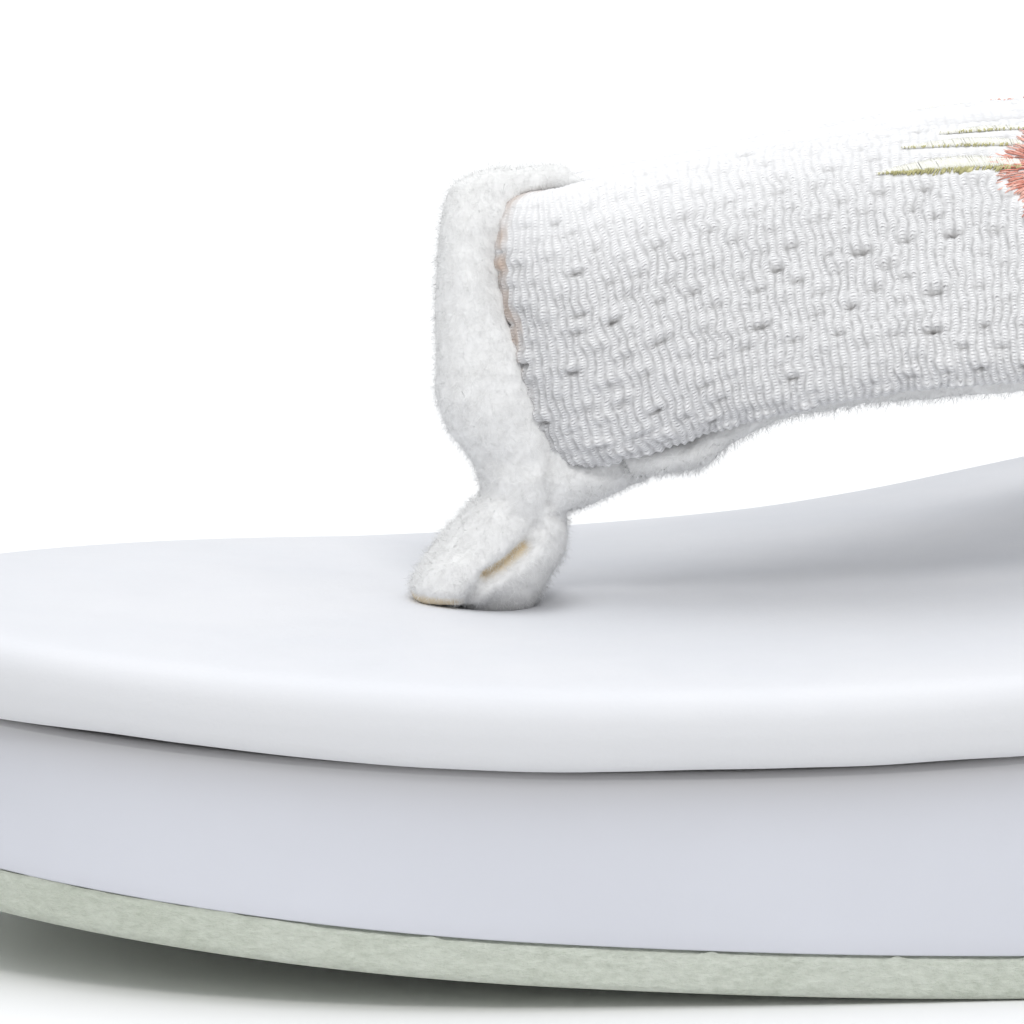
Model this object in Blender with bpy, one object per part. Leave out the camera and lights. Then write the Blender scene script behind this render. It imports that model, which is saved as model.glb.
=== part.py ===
"""A woman's formal zori: a wedge sole in three layers, a pair of padded straps and a fleece toe thong.

Metres, +Z up. The toe points to -X, the shoe stands on z = 0, and the origin is below the middle of
the sole's length. The shoe is its own mirror image about y = 0.
"""

import math
from collections import namedtuple

import bmesh
import bpy
import numpy as np
from mathutils import Vector

# Sole
SOLE_LENGTH = 0.240
BALL_WIDTH = 0.0846
TOE_ROUND = 0.043
HEEL_ROUND = 0.034
CAP_POWER = 2.2
FRONT_HEIGHT = 0.0221
HEEL_HEIGHT = 0.0445
WEDGE_START = 0.044
TOE_SPRING = 0.0060
TOE_LIFT = 0.0036
SPRING_LENGTH = 0.084
SPRING_POWER = 1.7
INSOLE_THICK = 0.0060
RIM_ROLL = 0.0026
RIM_OVERHANG = 0.0018
SIDE_DRAFT = 0.05
OUTSOLE_THICK = 0.0028
EDGE_ROUND = 0.0004
SEAM_GAP = 0.0003

# Toe thong
FRONT_HOLE_AT = 0.0466
THONG_HEIGHT = 0.0314
THONG_WIDTH = 0.010
FOLD_THICK = 0.0014
TAIL_DEPTH = 0.008

# Straps
STRAP_WIDTH = 0.0224
STRAP_THICK = 0.0054
NOSE_RADIUS = 0.0039
NOSE_TILT = math.radians(13)
STRAP_ARCH = 0.0130
REAR_HOLE_AT = 0.140
REAR_HOLE_OUT = 0.030
STRAP_SINK = 0.005
LINING_THICK = 0.0017
LINING_DROP = 0.0045
LINING_TURN = 0.0005
LIMIT_REACH = 0.030

# Fineness of the meshes
SOLE_POINTS = 96
TURN_STEPS = 6
RUN_STEPS = 34
THONG_POINTS = 20

# Half the sole's outline: shares of the length and of half the ball width.
Outline = namedtuple("Outline", "along half")
OUTLINE = (
    Outline(along=0.00, half=0.720),
    Outline(along=0.08, half=0.803),
    Outline(along=0.17, half=0.878),
    Outline(along=0.29, half=0.953),
    Outline(along=0.42, half=1.000),
    Outline(along=0.54, half=0.976),
    Outline(along=0.67, half=0.910),
    Outline(along=0.80, half=0.845),
    Outline(along=0.90, half=0.812),
    Outline(along=1.00, half=0.795),
)

# The wedge's rise from its start to the back of the heel.
Wedge = namedtuple("Wedge", "along rise")
WEDGE = (
    Wedge(along=0.000, rise=0.000),
    Wedge(along=0.071, rise=0.018),
    Wedge(along=0.150, rise=0.056),
    Wedge(along=0.205, rise=0.108),
    Wedge(along=0.255, rise=0.176),
    Wedge(along=0.311, rise=0.260),
    Wedge(along=0.388, rise=0.373),
    Wedge(along=0.541, rise=0.578),
    Wedge(along=0.694, rise=0.768),
    Wedge(along=0.847, rise=0.917),
    Wedge(along=1.000, rise=1.000),
)

# The padded edge of the insole, from its underside round the rim to its top:
# inset as a share of the rim's roll, level as a share of the insole's thickness.
Rim = namedtuple("Rim", "inset level")
RIM = (
    Rim(inset=1.10, level=0.000),
    Rim(inset=0.30, level=0.030),
    Rim(inset=0.04, level=0.220),
    Rim(inset=0.00, level=0.420),
    Rim(inset=0.12, level=0.640),
    Rim(inset=0.42, level=0.830),
    Rim(inset=1.00, level=0.935),
    Rim(inset=2.20, level=0.975),
    Rim(inset=4.80, level=1.000),
)

# A strap's cross-section: across as a share of half its width towards the top edge,
# out as a share of its thickness towards the outer face.
Section = namedtuple("Section", "across out")
SECTION = (
    Section(across=-1.00, out=0.00),
    Section(across=-0.93, out=0.28),
    Section(across=-0.70, out=0.48),
    Section(across=-0.36, out=0.59),
    Section(across=0.00, out=0.62),
    Section(across=0.36, out=0.59),
    Section(across=0.70, out=0.48),
    Section(across=0.93, out=0.28),
    Section(across=1.00, out=0.00),
    Section(across=0.93, out=-0.22),
    Section(across=0.60, out=-0.36),
    Section(across=0.00, out=-0.38),
    Section(across=-0.60, out=-0.36),
    Section(across=-0.93, out=-0.22),
)
OUTER_SHARE = 0.62
INNER_SHARE = 0.38

# A strap's run from the nose to its hole: back and out as shares of the way to the rear hole,
# arch as a share of the arch above the straight line, lean of the face in degrees,
# width and thick as shares of the strap's own, drop as a share of the lining's drop.
Run = namedtuple("Run", "back out arch lean width thick drop")
RUN = (
    Run(back=0.000, out=0.000, arch=0.000, lean=8.0, width=0.888, thick=0.91, drop=0.37),
    Run(back=0.075, out=0.054, arch=0.230, lean=24.0, width=0.890, thick=0.92, drop=0.07),
    Run(back=0.157, out=0.134, arch=0.445, lean=33.0, width=0.915, thick=0.94, drop=0.00),
    Run(back=0.250, out=0.215, arch=0.650, lean=40.0, width=0.955, thick=0.96, drop=0.00),
    Run(back=0.354, out=0.315, arch=0.830, lean=45.0, width=1.000, thick=0.98, drop=0.00),
    Run(back=0.470, out=0.465, arch=0.965, lean=47.0, width=1.000, thick=1.00, drop=0.00),
    Run(back=0.586, out=0.635, arch=1.000, lean=46.0, width=1.000, thick=1.00, drop=0.00),
    Run(back=0.703, out=0.795, arch=0.950, lean=43.0, width=0.970, thick=0.98, drop=0.00),
    Run(back=0.808, out=0.912, arch=0.810, lean=37.0, width=0.880, thick=0.92, drop=0.00),
    Run(back=0.905, out=0.977, arch=0.570, lean=28.0, width=0.740, thick=0.82, drop=0.00),
    Run(back=0.975, out=1.000, arch=0.260, lean=20.0, width=0.580, thick=0.70, drop=0.00),
    Run(back=1.000, out=1.000, arch=0.000, lean=16.0, width=0.480, thick=0.62, drop=0.00),
)
# Where along a strap's run its lining is still only a hem, has its full height, and ends.
HEM_UNTIL = 0.023
FULL_FROM = 0.047
LINING_UNTIL = 0.790
HEM_SHARE = 0.05

# The lining's faces: share of the way from its lowest line to its top line, and how far the face is
# turned in at the edges, as a share of the strap's thickness.
Face = namedtuple("Face", "reach turned")
LINING_FRONT = (
    Face(reach=1.00, turned=0.05),
    Face(reach=0.79, turned=0.00),
    Face(reach=0.49, turned=0.00),
    Face(reach=0.13, turned=0.00),
)
LINING_BACK = (
    Face(reach=0.07, turned=0.00),
    Face(reach=0.49, turned=0.00),
    Face(reach=0.85, turned=0.00),
    Face(reach=0.99, turned=0.08),
)
LINING_LOW = -0.76
LINING_TOP = 0.86

# The lining's lower edge, as a plain band and where it wraps below the strap: across as a share of
# half the strap's width, below as a share of the drop, strap and lining as shares of each thickness
# inwards from the middle line for the wrap and from the strap's inner face for the band.
Hem = namedtuple("Hem", "across below strap lining")
BAND_EDGE = (
    Hem(across=-0.75, below=0.00, strap=-0.06, lining=0.00),
    Hem(across=-0.78, below=0.00, strap=0.00, lining=0.15),
    Hem(across=-0.81, below=0.00, strap=0.00, lining=0.40),
    Hem(across=-0.81, below=0.00, strap=0.00, lining=0.65),
    Hem(across=-0.78, below=0.00, strap=0.00, lining=0.90),
)
WRAPPED_EDGE = (
    Hem(across=-0.95, below=0.00, strap=-0.10, lining=0.00),
    Hem(across=-1.00, below=0.30, strap=-0.28, lining=0.00),
    Hem(across=-1.00, below=0.85, strap=-0.24, lining=0.00),
    Hem(across=-1.00, below=1.00, strap=-0.08, lining=0.00),
    Hem(across=-1.00, below=0.80, strap=-0.08, lining=1.00),
)

# The thong, in level ovals: up as a share of its height above the insole, and the centre's distance
# behind the hole and the oval's half length and half width as shares of its own width.
Level = namedtuple("Level", "up back along across")
FRONT_STRAND = (
    Level(up=0.130, back=0.20, along=0.20, across=0.22),
    Level(up=0.215, back=0.22, along=0.28, across=0.31),
    Level(up=0.245, back=0.36, along=0.42, across=0.36),
    Level(up=0.290, back=0.52, along=0.60, across=0.42),
    Level(up=0.340, back=0.54, along=0.70, across=0.46),
    Level(up=0.400, back=0.24, along=0.56, across=0.41),
    Level(up=0.480, back=0.00, along=0.41, across=0.36),
    Level(up=0.620, back=-0.06, along=0.36, across=0.34),
    Level(up=0.760, back=-0.07, along=0.34, across=0.34),
    Level(up=0.880, back=-0.03, along=0.36, across=0.30),
    Level(up=0.930, back=0.05, along=0.41, across=0.27),
    Level(up=0.965, back=0.13, along=0.44, across=0.24),
    Level(up=0.988, back=0.17, along=0.40, across=0.21),
    Level(up=1.000, back=0.20, along=0.30, across=0.15),
)
REAR_STRAND = (
    Level(up=0.230, back=0.34, along=0.18, across=0.16),
    Level(up=0.300, back=0.58, along=0.24, across=0.24),
    Level(up=0.400, back=0.80, along=0.20, across=0.24),
    Level(up=0.650, back=0.72, along=0.18, across=0.24),
    Level(up=0.900, back=0.62, along=0.18, across=0.20),
    Level(up=0.965, back=0.44, along=0.22, across=0.20),
    Level(up=0.982, back=0.32, along=0.22, across=0.18),
)
# Below the neck one strand reaches forward and rests on the insole, the other turns down the hole.
TOE_FOOT = (
    Level(up=0.000, back=-0.24, along=0.34, across=0.32),
    Level(up=0.035, back=-0.22, along=0.40, across=0.39),
    Level(up=0.095, back=-0.14, along=0.38, across=0.40),
    Level(up=0.165, back=0.00, along=0.34, across=0.36),
    Level(up=0.250, back=0.18, along=0.24, across=0.28),
)
TAIL = (
    Level(up=-0.010, back=0.00, along=0.26, across=0.28),
    Level(up=0.055, back=0.06, along=0.31, across=0.33),
    Level(up=0.120, back=0.15, along=0.34, across=0.37),
    Level(up=0.180, back=0.20, along=0.32, across=0.35),
    Level(up=0.228, back=0.22, along=0.27, across=0.29),
)
OVAL_POWER = 2.3
RESTING_SHARE = 0.13

COLLECTION = "zori_sandal"
CUTTERS = "cutters"


def smooth(at, known, values):
    """A cubic through the known values that never overshoots them."""
    at = np.asarray(at, float)
    known = np.asarray(known, float)
    values = np.asarray(values, float)
    step = np.diff(known)
    slope = np.diff(values) / step
    tangent = np.empty_like(values)
    tangent[0] = slope[0]
    tangent[-1] = slope[-1]
    before, after = slope[:-1], slope[1:]
    same = before * after > 0
    mean = np.where(same, 2 * before * after / np.where(same, before + after, 1.0), 0.0)
    tangent[1:-1] = mean
    index = np.clip(np.searchsorted(known, at, side="right") - 1, 0, len(step) - 1)
    width = step[index]
    t = (at - known[index]) / width
    rise = values[index + 1] - values[index]
    a = tangent[index] * width - rise
    b = -tangent[index + 1] * width + rise
    return values[index] + t * rise + t * (1 - t) * ((1 - t) * a + t * b)


def column(rows, name):
    return np.array([getattr(row, name) for row in rows])


def half_width(s):
    """Half the sole's width at a distance s behind the toe's tip."""
    s = np.clip(s, 0.0, SOLE_LENGTH)
    body = smooth(s / SOLE_LENGTH, column(OUTLINE, "along"), column(OUTLINE, "half"))
    toe = np.clip(1 - s / TOE_ROUND, 0.0, 1.0)
    heel = np.clip(1 - (SOLE_LENGTH - s) / HEEL_ROUND, 0.0, 1.0)
    caps = (1 - toe**CAP_POWER) * (1 - heel**CAP_POWER)
    return BALL_WIDTH / 2 * body * np.clip(caps, 0.0, 1.0) ** (1 / CAP_POWER)


def rocker(s):
    """How far the toe's curve has risen at s, as a share."""
    return np.clip(1 - np.asarray(s, float) / SPRING_LENGTH, 0.0, 1.0) ** SPRING_POWER


def ground_height(s):
    return TOE_SPRING * rocker(s)


def top_height(s):
    """Height of the insole's top along the middle of the sole."""
    reach = (np.asarray(s, float) - WEDGE_START) / (SOLE_LENGTH - WEDGE_START)
    rise = smooth(np.clip(reach, 0.0, 1.0), column(WEDGE, "along"), column(WEDGE, "rise"))
    return FRONT_HEIGHT + TOE_LIFT * rocker(s) + (HEEL_HEIGHT - FRONT_HEIGHT) * rise


def outline_ring():
    """Points round the sole, from the toe's tip along the -Y side, with their outward directions."""
    half = SOLE_POINTS // 2
    turn = np.linspace(0, math.pi, half + 1)
    s = SOLE_LENGTH / 2 * (1 - np.cos(turn))
    w = half_width(s)
    w[0] = 0.0
    w[-1] = 0.0
    points = np.concatenate([np.stack([s, -w], 1), np.stack([s[-2:0:-1], w[-2:0:-1]], 1)])
    along = np.roll(points, -1, axis=0) - np.roll(points, 1, axis=0)
    outward = np.stack([along[:, 1], -along[:, 0]], 1)
    outward /= np.linalg.norm(outward, axis=1, keepdims=True)
    return points, outward


def sole_ring(inset, height):
    """One ring of the sole, set in from the outline, at a height that is a function of s."""
    points, outward = outline_ring()
    moved = points - outward * np.reshape(inset, (-1, 1))
    return np.stack([moved[:, 0] - SOLE_LENGTH / 2, moved[:, 1], height(moved[:, 0])], 1)


def new_collection(name):
    collection = bpy.data.collections.new(name)
    bpy.context.scene.collection.children.link(collection)
    return collection


def material(name, colour, roughness):
    made = bpy.data.materials.new(name)
    made.use_nodes = True
    shader = made.node_tree.nodes["Principled BSDF"]
    shader.inputs["Base Color"].default_value = (*colour, 1.0)
    shader.inputs["Roughness"].default_value = roughness
    shader.inputs["Metallic"].default_value = 0.0
    return made


def add_object(name, bm, collection, surface=None):
    """Turn a closed bmesh into an object with outward faces."""
    bmesh.ops.recalc_face_normals(bm, faces=bm.faces)
    mesh = bpy.data.meshes.new(name)
    bm.to_mesh(mesh)
    bm.free()
    mesh.shade_smooth()
    mesh.set_sharp_from_angle(angle=math.radians(40))
    made = bpy.data.objects.new(name, mesh)
    collection.objects.link(made)
    if surface is not None:
        mesh.materials.append(surface)
    return made


def join_rings(bm, rings):
    """Make the walls between neighbouring rings of points and return the rings' vertices."""
    verts = [[bm.verts.new(point) for point in ring] for ring in rings]
    count = len(verts[0])
    for low, high in zip(verts, verts[1:]):
        for i in range(count):
            j = (i + 1) % count
            bm.faces.new((low[i], low[j], high[j], high[i]))
    return verts


def sole_layer(name, rings, collection, surface):
    """A layer of the sole: rings joined by walls, closed with strips that run straight across."""
    bm = bmesh.new()
    verts = join_rings(bm, rings)
    for ring in (verts[0], verts[-1]):
        half = len(ring) // 2
        for k in range(half):
            corners = [ring[k], ring[k + 1], ring[-(k + 1)], ring[-k if k else 0]]
            bm.faces.new(list(dict.fromkeys(corners)))
    return add_object(name, bm, collection, surface)


def tube(name, rings, collection, surface=None):
    """Rings joined by walls with a flat end on each side."""
    bm = bmesh.new()
    verts = join_rings(bm, rings)
    bm.faces.new(verts[0])
    bm.faces.new(verts[-1])
    return add_object(name, bm, collection, surface)


def boolean(target, cutter, operation):
    modifier = target.modifiers.new(cutter.name, "BOOLEAN")
    modifier.operation = operation
    modifier.solver = "EXACT"
    modifier.object = cutter


def base_inset(s):
    """Inset of the side at the ground, where it has drawn in below the rim."""
    fall = top_height(s) - INSOLE_THICK - ground_height(s)
    return RIM_OVERHANG + SIDE_DRAFT * fall


def side_inset(share):
    """Inset of the side at a share of the way down from the rim to the ground."""
    points, outward = outline_ring()
    return RIM_OVERHANG + (base_inset(points[:, 0]) - RIM_OVERHANG) * share


def make_insole(collection, surface):
    def height(level):
        return lambda s: top_height(s) - INSOLE_THICK * (1 - level)

    rings = [sole_ring(np.full(SOLE_POINTS, row.inset * RIM_ROLL), height(row.level)) for row in RIM]
    return sole_layer("insole", rings, collection, surface)


def make_midsole(collection, surface):
    def low(lift):
        return lambda s: ground_height(s) + OUTSOLE_THICK + SEAM_GAP + lift

    def high(drop):
        return lambda s: top_height(s) - INSOLE_THICK - SEAM_GAP - drop

    rings = [
        sole_ring(side_inset(1.0) + EDGE_ROUND, low(0.0)),
        sole_ring(side_inset(1.0), low(EDGE_ROUND)),
        sole_ring(side_inset(0.0), high(EDGE_ROUND)),
        sole_ring(side_inset(0.0) + EDGE_ROUND, high(0.0)),
    ]
    return sole_layer("midsole", rings, collection, surface)


def make_outsole(collection, surface):
    rings = [
        sole_ring(side_inset(1.0) + EDGE_ROUND, ground_height),
        sole_ring(side_inset(1.0), lambda s: ground_height(s) + EDGE_ROUND),
        sole_ring(side_inset(1.0), lambda s: ground_height(s) + OUTSOLE_THICK),
    ]
    return sole_layer("outsole", rings, collection, surface)


def nose_centre():
    """Middle of the nose's turn, and its height above the insole at the front hole."""
    at = FRONT_HOLE_AT + OUTER_SHARE * RUN[0].thick * STRAP_THICK + NOSE_RADIUS
    half = RUN[0].width * STRAP_WIDTH / 2
    up = THONG_HEIGHT - FOLD_THICK - SEAM_GAP - half * math.cos(NOSE_TILT)
    return at, float(top_height(FRONT_HOLE_AT)) + up


def half_strap():
    """Stations of the -Y strap from the middle of the nose to its end inside the rear hole."""
    nose_at, nose_z = nose_centre()
    slope = math.tan(NOSE_TILT)
    turn = np.linspace(0, math.pi / 2, TURN_STEPS + 1)[:-1]
    turn_s = nose_at - NOSE_RADIUS * np.cos(turn)
    turn_y = NOSE_RADIUS * np.sin(turn)
    turn_z = nose_z + slope * (turn_s - nose_at + NOSE_RADIUS)
    eased = (1 - np.cos(2 * turn)) / 2
    turn_lean = -NOSE_TILT + (math.radians(RUN[0].lean) + NOSE_TILT) * eased

    rows = np.linspace(0, len(RUN) - 1, len(RUN))
    at = np.linspace(0, len(RUN) - 1, RUN_STEPS + 1)
    run = {name: smooth(at, rows, column(RUN, name)) for name in Run._fields}
    start_z = nose_z + slope * NOSE_RADIUS
    end_z = float(top_height(REAR_HOLE_AT)) - STRAP_SINK
    run_s = nose_at + (REAR_HOLE_AT - nose_at) * run["back"]
    run_y = NOSE_RADIUS + (REAR_HOLE_OUT - NOSE_RADIUS) * run["out"]
    run_z = start_z + (end_z - start_z) * run["back"] + STRAP_ARCH * run["arch"]

    s = np.concatenate([turn_s, run_s])
    y = np.concatenate([turn_y, run_y])
    centre = np.stack([s - SOLE_LENGTH / 2, -y, np.concatenate([turn_z, run_z])], 1)
    still = np.ones(TURN_STEPS)
    return {
        "centre": centre,
        "lean": np.concatenate([turn_lean, np.radians(run["lean"])]),
        "width": STRAP_WIDTH * np.concatenate([still * RUN[0].width, run["width"]]),
        "thick": STRAP_THICK * np.concatenate([still * RUN[0].thick, run["thick"]]),
        "drop": LINING_DROP * np.concatenate([still * RUN[0].drop, run["drop"]]),
        "back": np.concatenate([np.zeros(TURN_STEPS), run["back"]]),
    }


def strap_frames(centre, lean):
    """Outward and upward directions of the strap's face at each station."""
    tangent = np.gradient(centre, axis=0)
    tangent[0] = (0.0, -1.0, 0.0)
    tangent /= np.linalg.norm(tangent, axis=1, keepdims=True)
    side = np.cross(tangent, np.array([0.0, 0.0, 1.0]))
    side /= np.linalg.norm(side, axis=1, keepdims=True)
    up = np.cross(side, tangent)
    cos, sin = np.cos(lean)[:, None], np.sin(lean)[:, None]
    return cos * side + sin * up, cos * up - sin * side


def strap_ring(centre, out, across, width, thick, grow):
    """One ring of a strap, grown by at least the same distance everywhere."""
    return [
        Vector(
            centre
            + across * (row.across * (width / 2 + grow))
            + out * (row.out * (thick + grow / INNER_SHARE))
        )
        for row in SECTION
    ]


def mirrored(ring):
    return [Vector((point[0], -point[1], point[2])) for point in ring]


def strap_rings(grow=0.0):
    """Rings from the end of one strap, round the nose, to the end of the other."""
    half = half_strap()
    out, across = strap_frames(half["centre"], half["lean"])
    near = [
        strap_ring(half["centre"][i], out[i], across[i], half["width"][i], half["thick"][i], grow)
        for i in range(len(half["centre"]))
    ]
    if grow:
        way = half["centre"][-1] - half["centre"][-2]
        way /= np.linalg.norm(way)
        near[-1] = [point + Vector(way * grow) for point in near[-1]]
    far = [mirrored(ring) for ring in near[:0:-1]]
    return far + near


def lining_ring(centre, out, across, width, thick, drop, cover):
    """The fleece behind one station of a strap; where it drops, it wraps below the lower edge."""
    half = width / 2
    inner = INNER_SHARE * thick + SEAM_GAP
    low = LINING_LOW * half
    high = low + (LINING_TOP * half - low) * cover
    wrap = min(drop / LINING_TURN, 1.0)

    def face(rows, depth):
        return [(low + (high - low) * row.reach, depth - row.turned * thick) for row in rows]

    def hem(row, gap):
        inwards = inner + row.strap * thick + row.lining * LINING_THICK
        return np.array([row.across * half - gap - row.below * drop, inwards])

    bands = [hem(row, 0.0) for row in BAND_EDGE]
    wraps = [hem(row, SEAM_GAP if row.below else 0.0) for row in WRAPPED_EDGE]
    edge = [tuple(band + (wrapped - band) * wrap) for band, wrapped in zip(bands, wraps)]
    points = face(LINING_FRONT, inner) + edge + face(LINING_BACK, inner + LINING_THICK)
    return [Vector(centre + across * a - out * n) for a, n in points]


def box(name, reach, across, collection):
    """A block from across[0] - across[1] to across[0] + across[1] in y, and past the shoe in x and z."""
    bm = bmesh.new()
    bmesh.ops.create_cube(bm, size=2.0)
    bmesh.ops.scale(bm, vec=(reach, across[1], reach), verts=bm.verts)
    bmesh.ops.translate(bm, vec=(0.0, across[0], 0.0), verts=bm.verts)
    return add_object(name, bm, collection)


def make_linings(collection, cutters, surface, rooms):
    half = half_strap()
    out, across = strap_frames(half["centre"], half["lean"])
    back = half["back"]
    share = np.clip((back - HEM_UNTIL) / (FULL_FROM - HEM_UNTIL), HEM_SHARE, 1.0)
    rings = [
        lining_ring(
            half["centre"][i],
            out[i],
            across[i],
            half["width"][i],
            half["thick"][i],
            half["drop"][i],
            share[i],
        )
        for i in range(TURN_STEPS, len(back))
        if back[i] <= LINING_UNTIL
    ]
    # Where the straps lean together the two linings meet face to face on the middle plane.
    for name, side in (("strap_lining_left", 1.0), ("strap_lining_right", -1.0)):
        own = rings if side > 0 else [mirrored(ring) for ring in rings]
        lining = tube(name, own, collection, surface)
        centre = side * (LIMIT_REACH - SEAM_GAP / 2)
        boolean(lining, box(name + "_limit", SOLE_LENGTH, (centre, LIMIT_REACH), cutters), "DIFFERENCE")
        for room in rooms:
            boolean(lining, room, "DIFFERENCE")


def oval_rings(rows, scale, grow=0.0, turned=0.0):
    """Level ovals up the thong; turned sets the first point on by a share of a step."""
    base = float(top_height(FRONT_HOLE_AT)) + SEAM_GAP
    turn = 2 * math.pi * (np.arange(THONG_POINTS) + turned) / THONG_POINTS
    cos, sin = np.cos(turn), np.sin(turn)
    shape_s = np.sign(cos) * np.abs(cos) ** (2 / OVAL_POWER)
    shape_y = np.sign(sin) * np.abs(sin) ** (2 / OVAL_POWER)
    rings = []
    for row in rows:
        s = FRONT_HOLE_AT + row.back * scale + (row.along * scale + grow) * shape_s
        y = (row.across * scale + grow) * shape_y
        # The lowest ovals lie along the insole's slope.
        resting = min(max(1 - row.up / RESTING_SHARE, 0.0), 1.0)
        slope = resting * (top_height(s) - top_height(FRONT_HOLE_AT))
        z = base + row.up * (THONG_HEIGHT - SEAM_GAP) + slope
        rings.append([Vector(point) for point in zip(s - SOLE_LENGTH / 2, y, z)])
    return rings


def tail_rings():
    """The strand that goes down the hole, with its end inside the midsole."""
    rings = oval_rings(TAIL, THONG_WIDTH, turned=0.5)
    end = [point - Vector((0.0, 0.0, TAIL_DEPTH)) for point in rings[0]]
    return [end] + rings


def hole_rings():
    """Room for the tail, from below its end to above the insole."""
    ring = oval_rings(TAIL[:1], THONG_WIDTH, SEAM_GAP, turned=0.5)[0]
    low = Vector((0.0, 0.0, -TAIL_DEPTH - SEAM_GAP))
    high = Vector((0.0, 0.0, INSOLE_THICK))
    return [[point + low for point in ring], [point + high for point in ring]]


def make_thong(collection, cutters, surface, straps_cutter):
    thong = tube("toe_thong", oval_rings(FRONT_STRAND, THONG_WIDTH), collection, surface)
    pieces = {
        "rear_strand": oval_rings(REAR_STRAND, THONG_WIDTH, turned=0.5),
        "toe_foot": oval_rings(TOE_FOOT, THONG_WIDTH),
        "tail": tail_rings(),
    }
    for name, rings in pieces.items():
        boolean(thong, tube(name, rings, cutters), "UNION")
    boolean(thong, straps_cutter, "DIFFERENCE")
    return thong


def main():
    for old in list(bpy.data.objects):
        bpy.data.objects.remove(old, do_unlink=True)
    collection = new_collection(COLLECTION)
    cutters = new_collection(CUTTERS)
    cover = material("white_leather", (0.87, 0.88, 0.91), 0.50)
    side = material("wrapped_side", (0.70, 0.71, 0.76), 0.42)
    suede = material("pale_green_leather", (0.56, 0.60, 0.49), 0.85)
    weave = material("white_weave", (0.84, 0.84, 0.85), 0.65)
    fleece = material("white_fleece", (0.84, 0.82, 0.79), 0.95)

    insole = make_insole(collection, cover)
    midsole = make_midsole(collection, side)
    make_outsole(collection, suede)
    tube("straps", strap_rings(), collection, weave)
    rooms = [
        tube("front_strand_room", oval_rings(FRONT_STRAND, THONG_WIDTH, SEAM_GAP), cutters),
        tube("rear_strand_room", oval_rings(REAR_STRAND, THONG_WIDTH, SEAM_GAP, turned=0.5), cutters),
    ]
    make_linings(collection, cutters, fleece, rooms)
    straps_cutter = tube("strap_room", strap_rings(SEAM_GAP), cutters)
    tail_cutter = tube("tail_room", hole_rings(), cutters)
    make_thong(collection, cutters, fleece, straps_cutter)
    for layer in (insole, midsole):
        boolean(layer, straps_cutter, "DIFFERENCE")
        boolean(layer, tail_cutter, "DIFFERENCE")
    for cutter in cutters.objects:
        cutter.hide_render = True
        cutter.display_type = "WIRE"


main()
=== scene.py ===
"""The look of a formal zori: leather-wrapped sole, padded crepe straps, fleece toe thong and lining."""

import math
from collections import namedtuple

import bmesh
import bpy
import numpy as np
from mathutils import Matrix, Vector


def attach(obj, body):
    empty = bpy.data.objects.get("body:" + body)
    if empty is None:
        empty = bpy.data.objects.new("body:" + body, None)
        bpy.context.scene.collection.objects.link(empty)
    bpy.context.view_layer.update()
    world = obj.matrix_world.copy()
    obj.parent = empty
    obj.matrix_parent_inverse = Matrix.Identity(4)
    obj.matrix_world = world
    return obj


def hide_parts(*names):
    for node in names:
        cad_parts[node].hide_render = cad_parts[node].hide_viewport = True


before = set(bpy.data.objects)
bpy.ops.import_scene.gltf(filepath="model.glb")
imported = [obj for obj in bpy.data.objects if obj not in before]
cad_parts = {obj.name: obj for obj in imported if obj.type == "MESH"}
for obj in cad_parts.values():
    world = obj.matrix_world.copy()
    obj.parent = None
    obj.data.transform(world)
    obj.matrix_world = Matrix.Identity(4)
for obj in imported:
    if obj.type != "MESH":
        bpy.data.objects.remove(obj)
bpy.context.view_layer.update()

RNG = np.random.default_rng(20260)

# The shoe's own sizes, in metres, as the solids have them.
SOLE_LENGTH = 0.240
BALL_WIDTH = 0.0846
TOE_ROUND = 0.043
HEEL_ROUND = 0.034
CAP_POWER = 2.2
FRONT_HEIGHT = 0.0221
HEEL_HEIGHT = 0.0445
WEDGE_START = 0.044
TOE_SPRING = 0.0060
TOE_LIFT = 0.0036
SPRING_LENGTH = 0.084
SPRING_POWER = 1.7
INSOLE_THICK = 0.0060
RIM_ROLL = 0.0026
RIM_OVERHANG = 0.0018
SIDE_DRAFT = 0.05
OUTSOLE_THICK = 0.0028
EDGE_ROUND = 0.0004
SEAM_GAP = 0.0003
FRONT_HOLE_AT = 0.0466
THONG_HEIGHT = 0.0314
FOLD_THICK = 0.0014
STRAP_WIDTH = 0.0224
STRAP_THICK = 0.0054
NOSE_RADIUS = 0.0039
NOSE_TILT = math.radians(13)
STRAP_ARCH = 0.0130
REAR_HOLE_AT = 0.140
REAR_HOLE_OUT = 0.030
STRAP_SINK = 0.005
OUTER_SHARE = 0.62

OUTLINE = np.array([
    (0.00, 0.720), (0.08, 0.803), (0.17, 0.878), (0.29, 0.953), (0.42, 1.000),
    (0.54, 0.976), (0.67, 0.910), (0.80, 0.845), (0.90, 0.812), (1.00, 0.795),
])
WEDGE = np.array([
    (0.000, 0.000), (0.071, 0.018), (0.150, 0.056), (0.205, 0.108), (0.255, 0.176), (0.311, 0.260),
    (0.388, 0.373), (0.541, 0.578), (0.694, 0.768), (0.847, 0.917), (1.000, 1.000),
])
RIM = np.array([
    (1.10, 0.000), (0.30, 0.030), (0.04, 0.220), (0.00, 0.420), (0.12, 0.640),
    (0.42, 0.830), (1.00, 0.935), (2.20, 0.975), (4.80, 1.000),
])
SECTION = np.array([
    (-1.00, 0.00), (-0.93, 0.28), (-0.70, 0.48), (-0.36, 0.59), (0.00, 0.62), (0.36, 0.59), (0.70, 0.48),
    (0.93, 0.28), (1.00, 0.00), (0.93, -0.22), (0.60, -0.36), (0.00, -0.38), (-0.60, -0.36), (-0.93, -0.22),
])
Run = namedtuple("Run", "back out arch lean width thick")
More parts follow.
